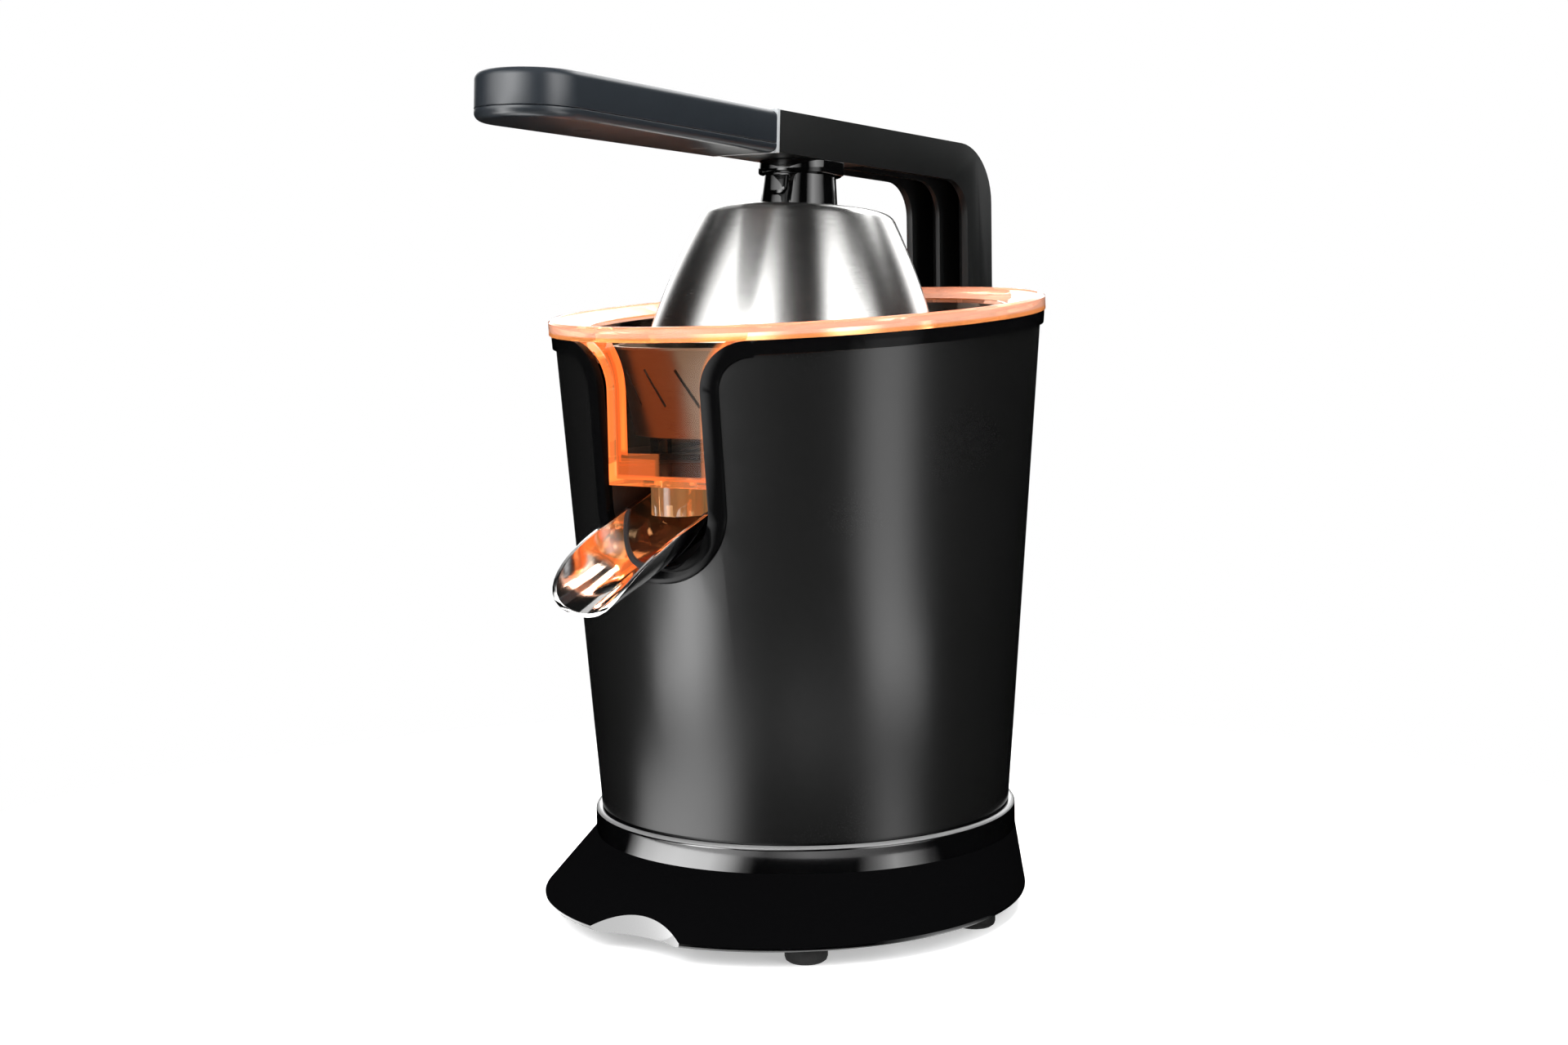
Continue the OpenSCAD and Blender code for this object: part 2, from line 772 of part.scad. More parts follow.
module strainer() {
  top_z = strainer_z + strainer_h;
  t = strainer_t;
  color("#b9bcbf") difference() {
    rotate_extrude() polygon([
      [strainer_hub_r - t, strainer_z], [strainer_foot_r, strainer_z], [strainer_r, top_z - 1],
      [strainer_r + 1.5, top_z - 1], [strainer_r + 1.5, top_z], [strainer_r - t, top_z],
      [strainer_foot_r - t, strainer_z + t], [strainer_hub_r, strainer_z + t],
      [strainer_hub_r, strainer_z + strainer_hub_h], [strainer_hub_r - t, strainer_z + strainer_hub_h]
    ]);
    for (k = [0:slits - 1]) rotate([0, 0, 360 / slits * k]) {
      translate([strainer_r - 3, 0, strainer_z + strainer_h * slit_mid]) rotate([slit_lean, 0, 0])
        cube([8, slit_w, slit_l], center = true);
      translate([strainer_hub_r + 12, -slit_w / 2, strainer_z - 1]) cube([floor_slit_l, slit_w, 3]);
    }
  }
}

// Screw places on the hinge bracket, along the body's radius at the rear
module bracket_screw_spots() {
  for (side = [-1, 1], z = [pin_z - 13, pin_z + 3])
    translate([side * bracket_screw_x, sqrt(pow(body_radius(z) - wall, 2) - pow(bracket_screw_x, 2)), z])
      rotate([-90, 0, 0]) children();
}

module hinge_bracket() {
  color("#111112") difference() {
    union() {
      translate([-bracket_half, body_r, pin_z + knuckle_r - bracket_h])
        cube([2 * bracket_half, post_front - bracket_gap - body_r, bracket_h]);
      for (side = [-1, 1]) translate([side * (bracket_half - ear_t / 2), pin_y, pin_z]) {
        rotate([0, 90, 0]) cylinder(r = knuckle_r, h = ear_t, center = true);
        translate([-ear_t / 2, body_r - pin_y, -bracket_h / 2 + 2])
          cube([ear_t, pin_y - body_r, bracket_h / 2 - 2 + knuckle_r]);
      }
    }
    body_core(-wall - run_fit, ledge_z, trim_z + 60);
    translate([-far / 2, pin_y, pin_z]) rotate([0, 90, 0]) cylinder(r = pin_r + run_fit, h = far, $fn = 48);
    bracket_screw_spots() cylinder(r = screw_r, h = 40, center = true, $fn = 24);
  }
}

module hinge_pin() {
  color("#9a9da0") translate([-bracket_half - clip_w - pin_end, pin_y, pin_z]) rotate([0, 90, 0])
    cylinder(r = pin_r, h = 2 * (bracket_half + clip_w + pin_end), $fn = 48);
}

module hinge_clips() {
  color("#77797c") for (side = [-1, 1])
    translate([side * (bracket_half + seam + clip_w / 2), pin_y, pin_z]) rotate([0, 90, 0]) difference() {
      cylinder(r = pin_r + clip_rim, h = clip_w, center = true, $fn = 48);
      cylinder(r = pin_r + run_fit, h = 2 * clip_w, center = true, $fn = 48);
      translate([-clip_slot / 2, 0, -clip_w]) cube([clip_slot, 2 * (pin_r + clip_rim), 2 * clip_w]);
    }
}

module bracket_screws() {
  color("#8a8d90") bracket_screw_spots() translate([0, 0, -0.6]) screw(8);
}

// Outline of the gearbox cover: one lobe for each gear, joined by a bridge
module cover_outline(inset) {
  circle(lobe_out - inset);
  translate([0, idler_y]) circle(lobe_idler - inset);
  translate([-lobe_idler + inset, 0]) square([2 * (lobe_idler - inset), idler_y]);
}

module motor_plate() {
  color("#a4a7aa") difference() {
    intersection() {
      translate([0, 0, motor_plate_z]) cylinder(r = motor_plate_r, h = plate_2_t);
      translate([-motor_plate_r, -lobe_out - 6, motor_plate_z])
        cube([2 * motor_plate_r, far, plate_2_t]);
    }
    translate([0, motor_y, motor_plate_z - 1]) cylinder(r = motor_bush_r, h = plate_2_t + 2, $fn = 48);
    translate([0, idler_y, motor_plate_z - 1]) cylinder(r = axle_r, h = plate_2_t + 2, $fn = 48);
    for (p = ear_spots) translate([p[0], p[1], motor_plate_z - 1])
      cylinder(r = screw_r + seam, h = plate_2_t + 2, $fn = 24);
    motor_screw_spots() translate([0, 0, motor_plate_z - 1]) cylinder(r = screw_r + seam, h = plate_2_t + 2, $fn = 24);
  }
}

module gear_cover() {
  color("#d8d8d4") difference() {
    union() {
      translate([0, 0, motor_plate_top]) linear_extrude(cover_top - motor_plate_top) cover_outline(0);
      translate([0, 0, cover_roof_z - 2]) cylinder(r = hub_r + bush_wall + 3, h = bush_top - cover_roof_z + 2);
      for (p = pillar_spots) translate([p[0], p[1], cover_roof_z])
        cylinder(r = pillar_r, h = deck_z - cover_roof_z, $fn = 32);
      for (p = ear_spots) translate([p[0], p[1], motor_plate_top]) cylinder(r = ear_r, h = ear_h, $fn = 32);
    }
    translate([0, 0, motor_plate_top - 1])
      linear_extrude(cover_roof_z - motor_plate_top + 1) cover_outline(cover_wall);
    translate([0, 0, output_z]) cylinder(r = hub_r + bush_wall, h = far / 4);
    translate([0, idler_y, cover_roof_z - 1]) cylinder(r = axle_r, h = cover_roof_t + 2, $fn = 48);
    for (p = ear_spots) translate([p[0], p[1], motor_plate_top - 1])
      cylinder(r = screw_r, h = ear_h + 2 * hole_end, $fn = 24);
  }
}

module gearbox_screws() {
  color("#8a8d90") for (p = ear_spots) translate([p[0], p[1], motor_plate_z]) screw(plate_2_t + screw_bite);
}

module output_bush() {
  color("#b08d4a") translate([0, 0, bush_z]) difference() {
    cylinder(r = hub_r + bush_wall - seam / 2, h = bush_top - bush_z);
    translate([0, 0, -1]) cylinder(r = hub_r + run_fit, h = far / 4);
  }
}

module idler_axle() {
  color("#9a9da0") translate([0, idler_y, motor_plate_z])
    cylinder(r = axle_r - run_fit / 2, h = cover_top - motor_plate_z, $fn = 48);
}

// Places on two ears of the motor housing
module motor_screw_spots() {
  for (side = [-1, 1]) translate([side * motor_ear, motor_y, 0]) children();
}

module motor_housing() {
  color("#5f6366") difference() {
    union() {
      translate([0, motor_y, can_z]) cylinder(r = can_r, h = motor_plate_z - can_z);
      translate([0, motor_y, can_z - motor_bush_l + can_wall]) cylinder(r = motor_bush_r + 3, h = motor_bush_l);
      motor_screw_spots() translate([0, 0, motor_plate_z - motor_ear_h]) cylinder(r = motor_ear_r, h = motor_ear_h, $fn = 32);
    }
    translate([0, motor_y, can_z + can_wall]) cylinder(r = can_r - can_wall, h = far / 2);
    translate([0, motor_y, can_z - 20]) cylinder(r = motor_bush_r, h = 40, $fn = 48);
    motor_screw_spots() translate([0, 0, motor_plate_z - motor_ear_h - hole_end])
      cylinder(r = screw_r, h = motor_ear_h + 2 * hole_end, $fn = 24);
    for (k = [0:7]) translate([0, motor_y, can_z]) rotate([0, 0, 45 * k + 22.5])
      translate([can_r - 14, -3, -1]) cube([20, 6, can_wall + 9]);
  }
}

module motor_stator() {
  color("#7b7e82") translate([0, motor_y, stator_z]) difference() {
    cylinder(r = stator_r, h = stator_h);
    translate([0, 0, -1]) cylinder(r = stator_bore, h = stator_h + 2);
    for (side = [-1, 1]) translate([side * stator_bore, 0, stator_h / 2])
      cube([14, 20, stator_h + 2], center = true);
  }
}

module field_coils() {
  color("#b5713a") for (z = [stator_z - coil_r, stator_z + stator_h + coil_r])
    translate([0, motor_y, z]) rotate_extrude() translate([coil_mean, 0]) circle(coil_r, $fn = 32);
}

module motor_bushes() {
  color("#b08d4a") for (z = [can_z - motor_bush_l + can_wall, motor_plate_top - motor_bush_l])
    translate([0, motor_y, z]) difference() {
      cylinder(r = motor_bush_r - run_fit, h = motor_bush_l, $fn = 48);
      translate([0, 0, -1]) cylinder(r = axle_r + run_fit, h = motor_bush_l + 2, $fn = 48);
    }
}

module motor_screws() {
  color("#8a8d90") motor_screw_spots() translate([0, 0, motor_plate_top]) rotate([180, 0, 0]) screw(plate_2_t + screw_bite);
}

module microswitch() {
  color("#26303a") difference() {
    translate([-switch_size[0] / 2, -5.5, motor_plate_top]) cube(switch_size);
    translate([0, 0, plunger_low - press_travel - 0.5]) cylinder(r = plunger_r + run_fit, h = far, $fn = 32);
  }
}

module switch_plunger() {
  color("#c8452c") {
    translate([0, 0, plunger_low]) cylinder(r = plunger_r, h = plunger_top - plunger_low, $fn = 32);
    translate([0, 0, plunger_top - plunger_head]) cylinder(r = plunger_head_r, h = plunger_head, $fn = 32);
  }
}

module armature() {
  rotor_r = stator_bore - bore_gap;
  shaft_low = can_z - motor_bush_l + can_wall;
  pinion_top = idler_z + gear_w;
  color("#6d6f73") translate([0, motor_y, 0]) {
    translate([0, 0, shaft_low]) cylinder(r = axle_r, h = pinion_top - shaft_low, $fn = 48);
    difference() {
      translate([0, 0, stator_z]) cylinder(r = rotor_r, h = stator_h);
      for (k = [0:11]) rotate([0, 0, 30 * k]) translate([rotor_r - slot_depth, -slot_w / 2, stator_z - 1])
        cube([slot_depth + 2, slot_w, stator_h + 2]);
    }
    translate([0, 0, stator_z + stator_h]) cylinder(r = axle_r + commutator_t, h = commutator_h);
  }
}

module motor_pinion() {
  color("#c9a24f") translate([0, motor_y, idler_z]) difference() {
    rotate([0, 0, 90 + 180 / pinion_teeth]) linear_extrude(gear_w) polygon(gear_outline(pinion_teeth, module_1));
    translate([0, 0, -1]) cylinder(r = axle_r, h = gear_w + 2, $fn = 48);
  }
}

module cooling_fan() {
  hub = axle_r + 4;
  color("#202020") translate([0, motor_y, can_z + can_wall + 2]) difference() {
    union() {
      cylinder(r = hub, h = fan_h, $fn = 48);
      cylinder(r = stator_r - 5, h = 1.6);
      for (k = [0:8]) rotate([0, 0, 40 * k]) translate([hub - 1, -0.8, 0]) cube([stator_r - 6 - hub, 1.6, fan_h]);
    }
    translate([0, 0, -1]) cylinder(r = axle_r, h = fan_h + 2, $fn = 48);
  }
}

module idler_gear() {
  step_z = idler_z + gear_w;
  color("#e4e0d2") translate([0, idler_y, 0]) difference() {
    union() {
      translate([0, 0, idler_z]) rotate([0, 0, -90]) linear_extrude(gear_w) polygon(gear_outline(idler_teeth, module_1));
      translate([0, 0, step_z]) rotate([0, 0, -90 + 180 / step_teeth])
        linear_extrude(output_z + gear_w - step_z) polygon(gear_outline(step_teeth, module_2));
      translate([0, 0, motor_plate_top + end_play])
        cylinder(r = axle_r + idler_hub_t, h = cover_roof_z - motor_plate_top - 2 * end_play);
    }
    translate([0, 0, idler_z - 20]) cylinder(r = axle_r + run_fit, h = far / 4, $fn = 48);
    for (k = [0:5]) rotate([0, 0, 60 * k]) translate([idler_tip * 0.66, 0, idler_z - 1])
      cylinder(r = idler_hole_r, h = gear_w + 2, $fn = 32);
  }
}

module output_gear() {
  color("#e4e0d2") difference() {
    union() {
      translate([0, 0, output_z]) rotate([0, 0, 90]) linear_extrude(gear_w) polygon(gear_outline(output_teeth, module_2));
      translate([0, 0, hub_low]) cylinder(r = hub_r, h = hub_top - hub_low);
    }
    translate([0, 0, hub_low - 1]) cylinder(r = (hex_w / 2 + slide_fit) / cos(30), h = far / 4, $fn = 6);
    translate([0, 0, spring_seat]) cylinder(r = spring_bore, h = far / 4, $fn = 48);
    for (k = [0:5]) rotate([0, 0, 60 * k]) translate([output_tip * 0.62, 0, output_z - 1])
      cylinder(r = output_hole_r, h = gear_w + 2, $fn = 32);
  }
}

module hub_clip() {
  color("#77797c") translate([0, 0, bush_top + 0.3]) difference() {
    cylinder(r = hub_r + 2.4, h = clip_t);
    translate([0, 0, -1]) cylinder(r = hub_r + 0.02, h = clip_t + 2);
    translate([-1.5, 0, -1]) cube([3, 2 * hub_r, clip_t + 2]);
  }
}

module return_spring() {
  rings = 12 * ceil(spring_turns) + 1;
  low = spring_seat + wire_d / 2 + 0.1;
  color("#c0c3c6") polyhedron(
    helix_points(spring_mean, low, collar_bottom - wire_d / 2 - 0.1 - low, spring_turns, wire_d, rings, 8),
    tube_faces(rings, 8)
  );
}

module drive_shaft() {
  color("#a9acaf") {
    translate([0, 0, shaft_end]) cylinder(r = hex_w / 2 / cos(30), h = collar_bottom - shaft_end, $fn = 6);
    translate([0, 0, collar_bottom]) cylinder(r = spring_bore - 0.4, h = collar_t, $fn = 48);
    translate([0, 0, collar_bottom + collar_t])
      cylinder(r = shaft_r, h = cone_hub_z - collar_bottom - collar_t, $fn = 48);
    translate([0, 0, cone_hub_z]) cylinder(r = cone_hex_w / 2 / cos(30), h = cone_hex_top - cone_hub_z, $fn = 6);
  }
}

// Side of the cone from its base to its rounded tip, moved inwards by an inset
function cone_side(inset) =
  [for (i = [0:8]) let (t = i / 9 * 90)
    [(cone_r - inset) * pow(cos(t), 0.9), (cone_h - inset) * sin(t) * (0.55 + 0.45 * sin(t))]];

module reaming_cone() {
  color("#17181a") translate([0, 0, cone_z]) difference() {
    union() {
      difference() {
        union() {
          rotate_extrude() polygon(concat([[0, 0]], cone_side(rib_out), [[0, cone_h - rib_out]]));
          for (k = [0:cone_ribs - 1]) rotate([0, 0, 360 / cone_ribs * k]) rotate([90, 0, 0])
            linear_extrude(rib_w, center = true) polygon(concat([[0, 0]], cone_side(0), [[0, cone_h]]));
          cylinder(r = cone_r + 2, h = 2);
        }
        translate([0, 0, -1]) rotate_extrude()
          polygon(concat([[0, 0]], cone_side(rib_out + cone_wall_t), [[0, cone_h - rib_out - cone_wall_t]]));
      }
      translate([0, 0, cone_hub_z - cone_z]) cylinder(r = cone_hub_r, h = cone_h - 6 - cone_hub_z + cone_z, $fn = 48);
    }
    translate([0, 0, cone_hub_z - cone_z - 1])
      cylinder(r = (cone_hex_w / 2 + 0.05) / cos(30), h = cone_hex_top - cone_hub_z + 1.2, $fn = 6);
  }
}

// Round bar of the spout along -Y; its lowest line lies pivot_up below the pivot
module spout_bar(r, front, back) {
  translate([0, back, spout_r - pivot_up]) rotate([90, 0, 0]) cylinder(r = r, h = front + back);
}

// All space above the spout's rim, which falls in a quarter ellipse to the beak
module above_spout() {
  rim_z = spout_depth - pivot_up;
  nose_z = beak_nose - pivot_up;
  across(far) polygon(concat(
    [[far / 4, rim_z]],
    [for (i = [0:12]) let (t = 90 * i / 12)
      [-rim_start - (spout_l - rim_start) * sin(t), nose_z + (rim_z - nose_z) * cos(t)]],
    [[-far / 4, nose_z], [-far / 4, far / 4], [far / 4, far / 4]]
  ));
}

module spout_wall(t) {
  difference() {
    spout_bar(spout_r, spout_l, spout_back);
    spout_bar(spout_r - t, spout_l + 1, spout_back + 1);
    above_spout();
  }
}

// All space in front of the slanted seam between the black trough and the steel lip
module before_seam(shift) {
  translate([0, -spout_seam - shift, -pivot_up]) rotate([-seam_lean, 0, 0])
    translate([-far / 2, -far, -far / 2]) cube(far);
}

module spout_trough() {
  pin_reach = alcove_half + wall - 0.4;
  color("#0a0a0b") difference() {
    spout_frame() difference() {
      union() {
        difference() {
          spout_bar(spout_r, spout_l, spout_back);
          above_spout();
          before_seam(0);
        }
        translate([-pin_reach, 0, 0]) rotate([0, 90, 0]) cylinder(r = pivot_r, h = 2 * pin_reach, $fn = 32);
      }
      spout_bar(spout_r - trough_t, spout_l, spout_back - trough_end_t);
    }
    translate([-far / 2, -far / 2, sump_z - free_gap]) cube(far);
  }
}

module spout_lip() {
  color("#d9d9d9") spout_frame() intersection() {
    spout_wall(lip_t);
    before_seam(gasket_t);
  }
}

module spout_gasket() {
  color("#6f7478") spout_frame() difference() {
    intersection() {
      spout_wall(trough_t + 0.4);
      before_seam(0);
    }
    before_seam(gasket_t);
  }
}

// Side outline of the arm: post, bend and level part, in the Y-Z plane
module arm_outline() {
  top_angle = 90 - arm_rise;
  end_y = -seam_y + collar_plate_t * cos(arm_rise);
  outer_y = post_rear - bend_r;
  inner_y = post_front - bend_in_r;
  outer_z = arm_top_z(outer_y) - bend_r / cos(arm_rise);
  inner_z = arm_under_z(inner_y) - bend_in_r / cos(arm_rise);
  polygon(concat(
    [[post_rear, pin_z]],
    arc(outer_y, outer_z, bend_r, 0, top_angle),
    [[end_y, arm_top_z(end_y)]],
    [[end_y - arm_t * sin(arm_rise), arm_top_z(end_y) - arm_t * cos(arm_rise)]],
    arc(inner_y, inner_z, bend_in_r, top_angle, 0),
    [[post_front, pin_z]]
  ));
  translate([pin_y, pin_z]) circle(knuckle_r);
}

// Hollow of the arm, open to the front of the post and to the underside of the bend
module arm_hollow() {
  top_angle = 90 - arm_rise;
  outer_y = post_rear - bend_r;
  outer_z = arm_top_z(outer_y) - bend_r / cos(arm_rise);
  end_y = boss_r + 12;
  polygon(concat(
    [[post_rear - skin, pin_z + knuckle_r + 6]],
    arc(outer_y, outer_z, bend_r - skin, 0, top_angle),
    [[end_y, arm_top_z(end_y) - skin], [end_y, arm_under_z(end_y) - 30], [post_front - 30, pin_z + knuckle_r + 6]]
  ));
}

// Extrudes a Y-Z outline across X, centred
module across(width) {
  rotate([90, 0, 90]) linear_extrude(width, center = true) children();
}

module arm_bracket() {
  color("#101112") difference() {
    union() {
      difference() {
        across(arm_w) arm_outline();
        difference() {
          across(arm_w - 2 * skin) arm_hollow();
          across(rib_t) translate([rib_set, 0]) arm_outline();
        }
      }
      grip_frame() translate([-tongue_half, -(grip_l - tongue_stop), -grip_t + cover_t])
        cube([2 * tongue_half, grip_l - tongue_stop + 4, tongue_t]);
    }
    translate([-far / 2, pin_y, pin_z]) rotate([0, 90, 0]) cylinder(r = pin_r + run_fit, h = far, $fn = 48);
    grip_screw_spots() cylinder(r = screw_r, h = grip_t + 2 * hole_end, $fn = 24);
  }
}

module grip_collar() {
  color("#c9cccf") grip_frame() difference() {
    translate([-arm_w / 2 - 0.4, 0, -arm_t - 0.4]) cube([arm_w + 0.8, collar_plate_t, arm_t + 0.6]);
    translate([-tongue_half - seam, -1, -grip_t + cover_t - seam]) cube([2 * (tongue_half + seam), 4, tongue_t + 2 * seam]);
  }
}

// Plan of the grip, drawn in by an inset, from the seam to its rounded end
module grip_plan(inset) {
  start = arm_w / 2 + 0.4 - inset;
  end = grip_half - inset;
  centre = grip_l - grip_half;
  polygon(concat(
    [[-start, -seam], [-end, -centre]],
    arc(0, -centre, end, 180, 360, 24),
    [[end, -centre], [start, -seam]]
  ));
}

// Slab of the grip's plan between two heights, with one rounded edge
module grip_slab(low, high, edge_low, edge_high) {
  hull() {
    for (a = [0:30:90]) {
      translate([0, 0, low + edge_low * (1 - cos(a))]) linear_extrude(0.01) grip_plan(edge_low * (1 - sin(a)));
      translate([0, 0, high - 0.01 - edge_high * (1 - cos(a))]) linear_extrude(0.01) grip_plan(edge_high * (1 - sin(a)));
    }
  }
}

module grip_upper() {
  color("#1e2226") grip_frame() difference() {
    grip_slab(-grip_t + cover_t + seam, 0, 0, grip_edge);
    translate([-tongue_half - seam, -(grip_l - tongue_stop) - seam, -grip_t])
      cube([2 * (tongue_half + seam), grip_l, cover_t + tongue_t + seam]);
  }
}

// Screw places along the underside of the grip
module grip_screw_spots() {
  for (y = grip_screw_y) grip_frame() translate([0, -y, -grip_t]) children();
}

module grip_lower() {
  color("#1b1f23") difference() {
    grip_frame() grip_slab(-grip_t, -grip_t + cover_t, grip_t - cover_line, 0.2);
    grip_screw_spots() {
      translate([0, 0, -1]) cylinder(r = head_r + seam, h = head_h + 1, $fn = 24);
      translate([0, 0, -1]) cylinder(r = screw_r + seam, h = cover_t + 2, $fn = 24);
    }
  }
}

module grip_screws() {
  color("#8a8d90") grip_screw_spots() translate([0, 0, head_h]) screw(cover_t - head_h + screw_bite);
}

// All space above the underside of the arm
module above_arm_underside() {
  translate([0, 0, arm_under_z(0)]) rotate([-arm_rise, 0, 0]) translate([-far / 2, -far / 2, 0]) cube(far);
}

module arm_boss() {
  color("#0d0d0e") difference() {
    raised() translate([0, 0, neck_top + boss_drop]) difference() {
      intersection() {
        union() {
          cylinder(r = boss_r, h = boss_h);
          translate([-boss_r, 0, 0]) cube([2 * boss_r, boss_back, boss_h]);
        }
        translate([-arm_w / 2, -far / 2, 0]) cube([arm_w, far, boss_h]);
      }
      translate([0, 0, -1]) cylinder(r = stem_r + slide_fit, h = stem_h + 2, $fn = 48);
    }
    above_arm_underside();
  }
}

// Prism of the release tab with its lower corners rounded, in front of a plane
module tab_prism(grow, front) {
  half = tab_w / 2 + grow;
  low = tab_z - grow;
  round_r = tab_round + grow;
  translate([0, -front, 0]) rotate([90, 0, 0]) linear_extrude(far / 8) {
    translate([-half, low + round_r]) square([2 * half, tab_h + 2 * grow - round_r]);
    translate([-(half - round_r), low]) square([2 * (half - round_r), tab_h]);
    for (side = [-1, 1]) translate([side * (half - round_r), low + round_r]) circle(round_r, $fn = 32);
  }
}

module dome_neck() {
  color("#0d0d0e") raised() difference() {
    union() {
      translate([0, 0, dome_top_z]) cylinder(r1 = neck_r + neck_flare, r2 = neck_r, h = neck_h - 1);
      translate([0, 0, neck_top - 1]) cylinder(r = neck_r, h = 1 + boss_drop);
      translate([0, 0, neck_top]) cylinder(r = stem_r, h = stem_h, $fn = 48);
    }
    tab_prism(tab_gap, neck_r - tab_depth - tab_travel - tab_gap);
    translate([0, 0, dome_top_z - 1]) cylinder(r = screw_r, h = 10, $fn = 24);
  }
}

module dome_release_tab() {
  color("#141416") raised() intersection() {
    tab_prism(0, neck_r - tab_depth);
    translate([0, 0, dome_top_z]) cylinder(r = neck_r + neck_flare + 0.5, h = neck_h);
  }
}

// Side of the dome from its open end to its top edge, a shallow outward curve
function dome_side(inset) =
  [for (i = [0:16]) let (t = i / 16)
    [dome_r + (dome_top_r - dome_r) * t + dome_bulge * 4 * t * (1 - t) - inset, dome_side_h * t]];

module press_dome() {
  edge_r = dome_top_r - dome_round * cos(dome_lean);
  edge_z = dome_h - dome_round;
  color("#c4c6c8") raised() translate([0, 0, dome_z]) difference() {
    rotate_extrude() polygon(concat(
      dome_side(0),
      arc(edge_r, edge_z, dome_round, dome_lean, 90, 8),
      [[0, dome_h], [0, dome_h - dome_t]],
      arc(edge_r, edge_z, dome_round - dome_t, 90, dome_lean, 8),
      [for (i = [15:-1:0]) dome_side(dome_t)[i]]
    ));
    cylinder(r = screw_r + seam, h = far, $fn = 24);
  }
}

module dome_screw() {
  color("#8a8d90") raised() translate([0, 0, dome_top_z - dome_t]) screw(dome_t + 7);
}

place() rubber_feet();
place() base_plate();
place() base_screws();
place() base_skirt();
place() cord_inlet_bush();
place() body_shell();
place() body_trim();
place() inner_housing();
place() shaft_seal();
place() juice_bowl();
place() strainer();
place() hinge_bracket();
place() hinge_pin();
place() hinge_clips();
place() bracket_screws();
place() motor_plate();
place() gear_cover();
place() gearbox_screws();
place() output_bush();
place() idler_axle();
place() motor_housing();
place() motor_stator();
place() field_coils();
place() motor_bushes();
place() motor_screws();
place() microswitch();
place() switch_plunger();
place() armature();
place() motor_pinion();
place() cooling_fan();
place() idler_gear();
place() output_gear();
place() hub_clip();
place() return_spring();
place() drive_shaft();
place() reaming_cone();
place() spout_trough();
place() spout_lip();
place() spout_gasket();
place() arm_bracket();
place() arm_boss();
place() grip_collar();
place() grip_upper();
place() grip_lower();
place() grip_screws();
place() dome_neck();
place() press_dome();
place() dome_screw();
place() dome_release_tab();
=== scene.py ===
"""Studio scene of an electric citrus press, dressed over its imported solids."""

from __future__ import annotations

import json
import logging
import math
from dataclasses import dataclass, replace
from enum import Enum
from functools import cache
from typing import Callable, Sequence

import bpy
from mathutils import Matrix, Vector

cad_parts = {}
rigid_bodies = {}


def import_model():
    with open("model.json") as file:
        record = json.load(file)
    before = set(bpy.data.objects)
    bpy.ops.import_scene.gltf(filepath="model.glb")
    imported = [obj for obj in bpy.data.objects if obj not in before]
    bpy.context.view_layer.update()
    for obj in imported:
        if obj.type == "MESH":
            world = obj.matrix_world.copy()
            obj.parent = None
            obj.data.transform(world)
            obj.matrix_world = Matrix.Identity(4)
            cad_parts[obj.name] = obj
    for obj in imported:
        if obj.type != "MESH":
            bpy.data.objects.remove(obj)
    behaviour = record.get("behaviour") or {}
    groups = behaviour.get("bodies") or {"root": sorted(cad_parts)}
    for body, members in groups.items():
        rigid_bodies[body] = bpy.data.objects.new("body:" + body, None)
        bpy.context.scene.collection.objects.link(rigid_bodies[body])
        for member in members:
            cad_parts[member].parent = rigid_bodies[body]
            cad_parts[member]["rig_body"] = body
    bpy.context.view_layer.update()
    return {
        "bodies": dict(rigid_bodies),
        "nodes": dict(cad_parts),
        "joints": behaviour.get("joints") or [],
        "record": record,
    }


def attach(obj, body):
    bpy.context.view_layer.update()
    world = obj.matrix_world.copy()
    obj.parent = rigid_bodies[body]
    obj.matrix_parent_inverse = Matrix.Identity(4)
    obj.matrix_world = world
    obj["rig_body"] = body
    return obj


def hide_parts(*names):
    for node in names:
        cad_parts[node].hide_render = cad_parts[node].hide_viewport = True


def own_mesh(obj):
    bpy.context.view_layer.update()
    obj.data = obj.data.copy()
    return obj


LOG = logging.getLogger("citrus_press")
Rgb = tuple[float, float, float]
Point = tuple[float, float, float]
Span = tuple[float, float]
Piece = bpy.types.Object
Face = bpy.types.MeshPolygon
Material = bpy.types.Material
Node = bpy.types.Node
Socket = bpy.types.NodeSocket

# Distance of the vertical body axis behind the frame's origin, in metres
AXIS_Y = 0.023777
# Hinge pin of the arm, and the angle by which the arm stands above its lowest position
PIN = Vector((0.0, 0.135969, 0.221))
ARM_RAISE = math.radians(5.5)
# Rise of the bowl's rim towards the back, per length
RIM_SLOPE = math.tan(math.radians(3.5))
# Points this close are merged, and points this close count as level, in metres
MERGE = 2e-6
NEAR = 1e-5
# Faces that meet at a smaller angle are one flat face
FLAT = math.radians(0.5)


class Texture(Enum):
    """Kind of fine detail that a finish carries, with its scale along X, Y and Z."""

    GRAIN = ("moulded grain", (1.0, 1.0, 1.0))
    BRUSHED = ("brush lines", (0.03, 0.03, 1.0))
    LAMINATED = ("stacked sheets", (0.02, 0.02, 1.0))
    WOUND = ("wound wire", (0.25, 0.25, 1.0))


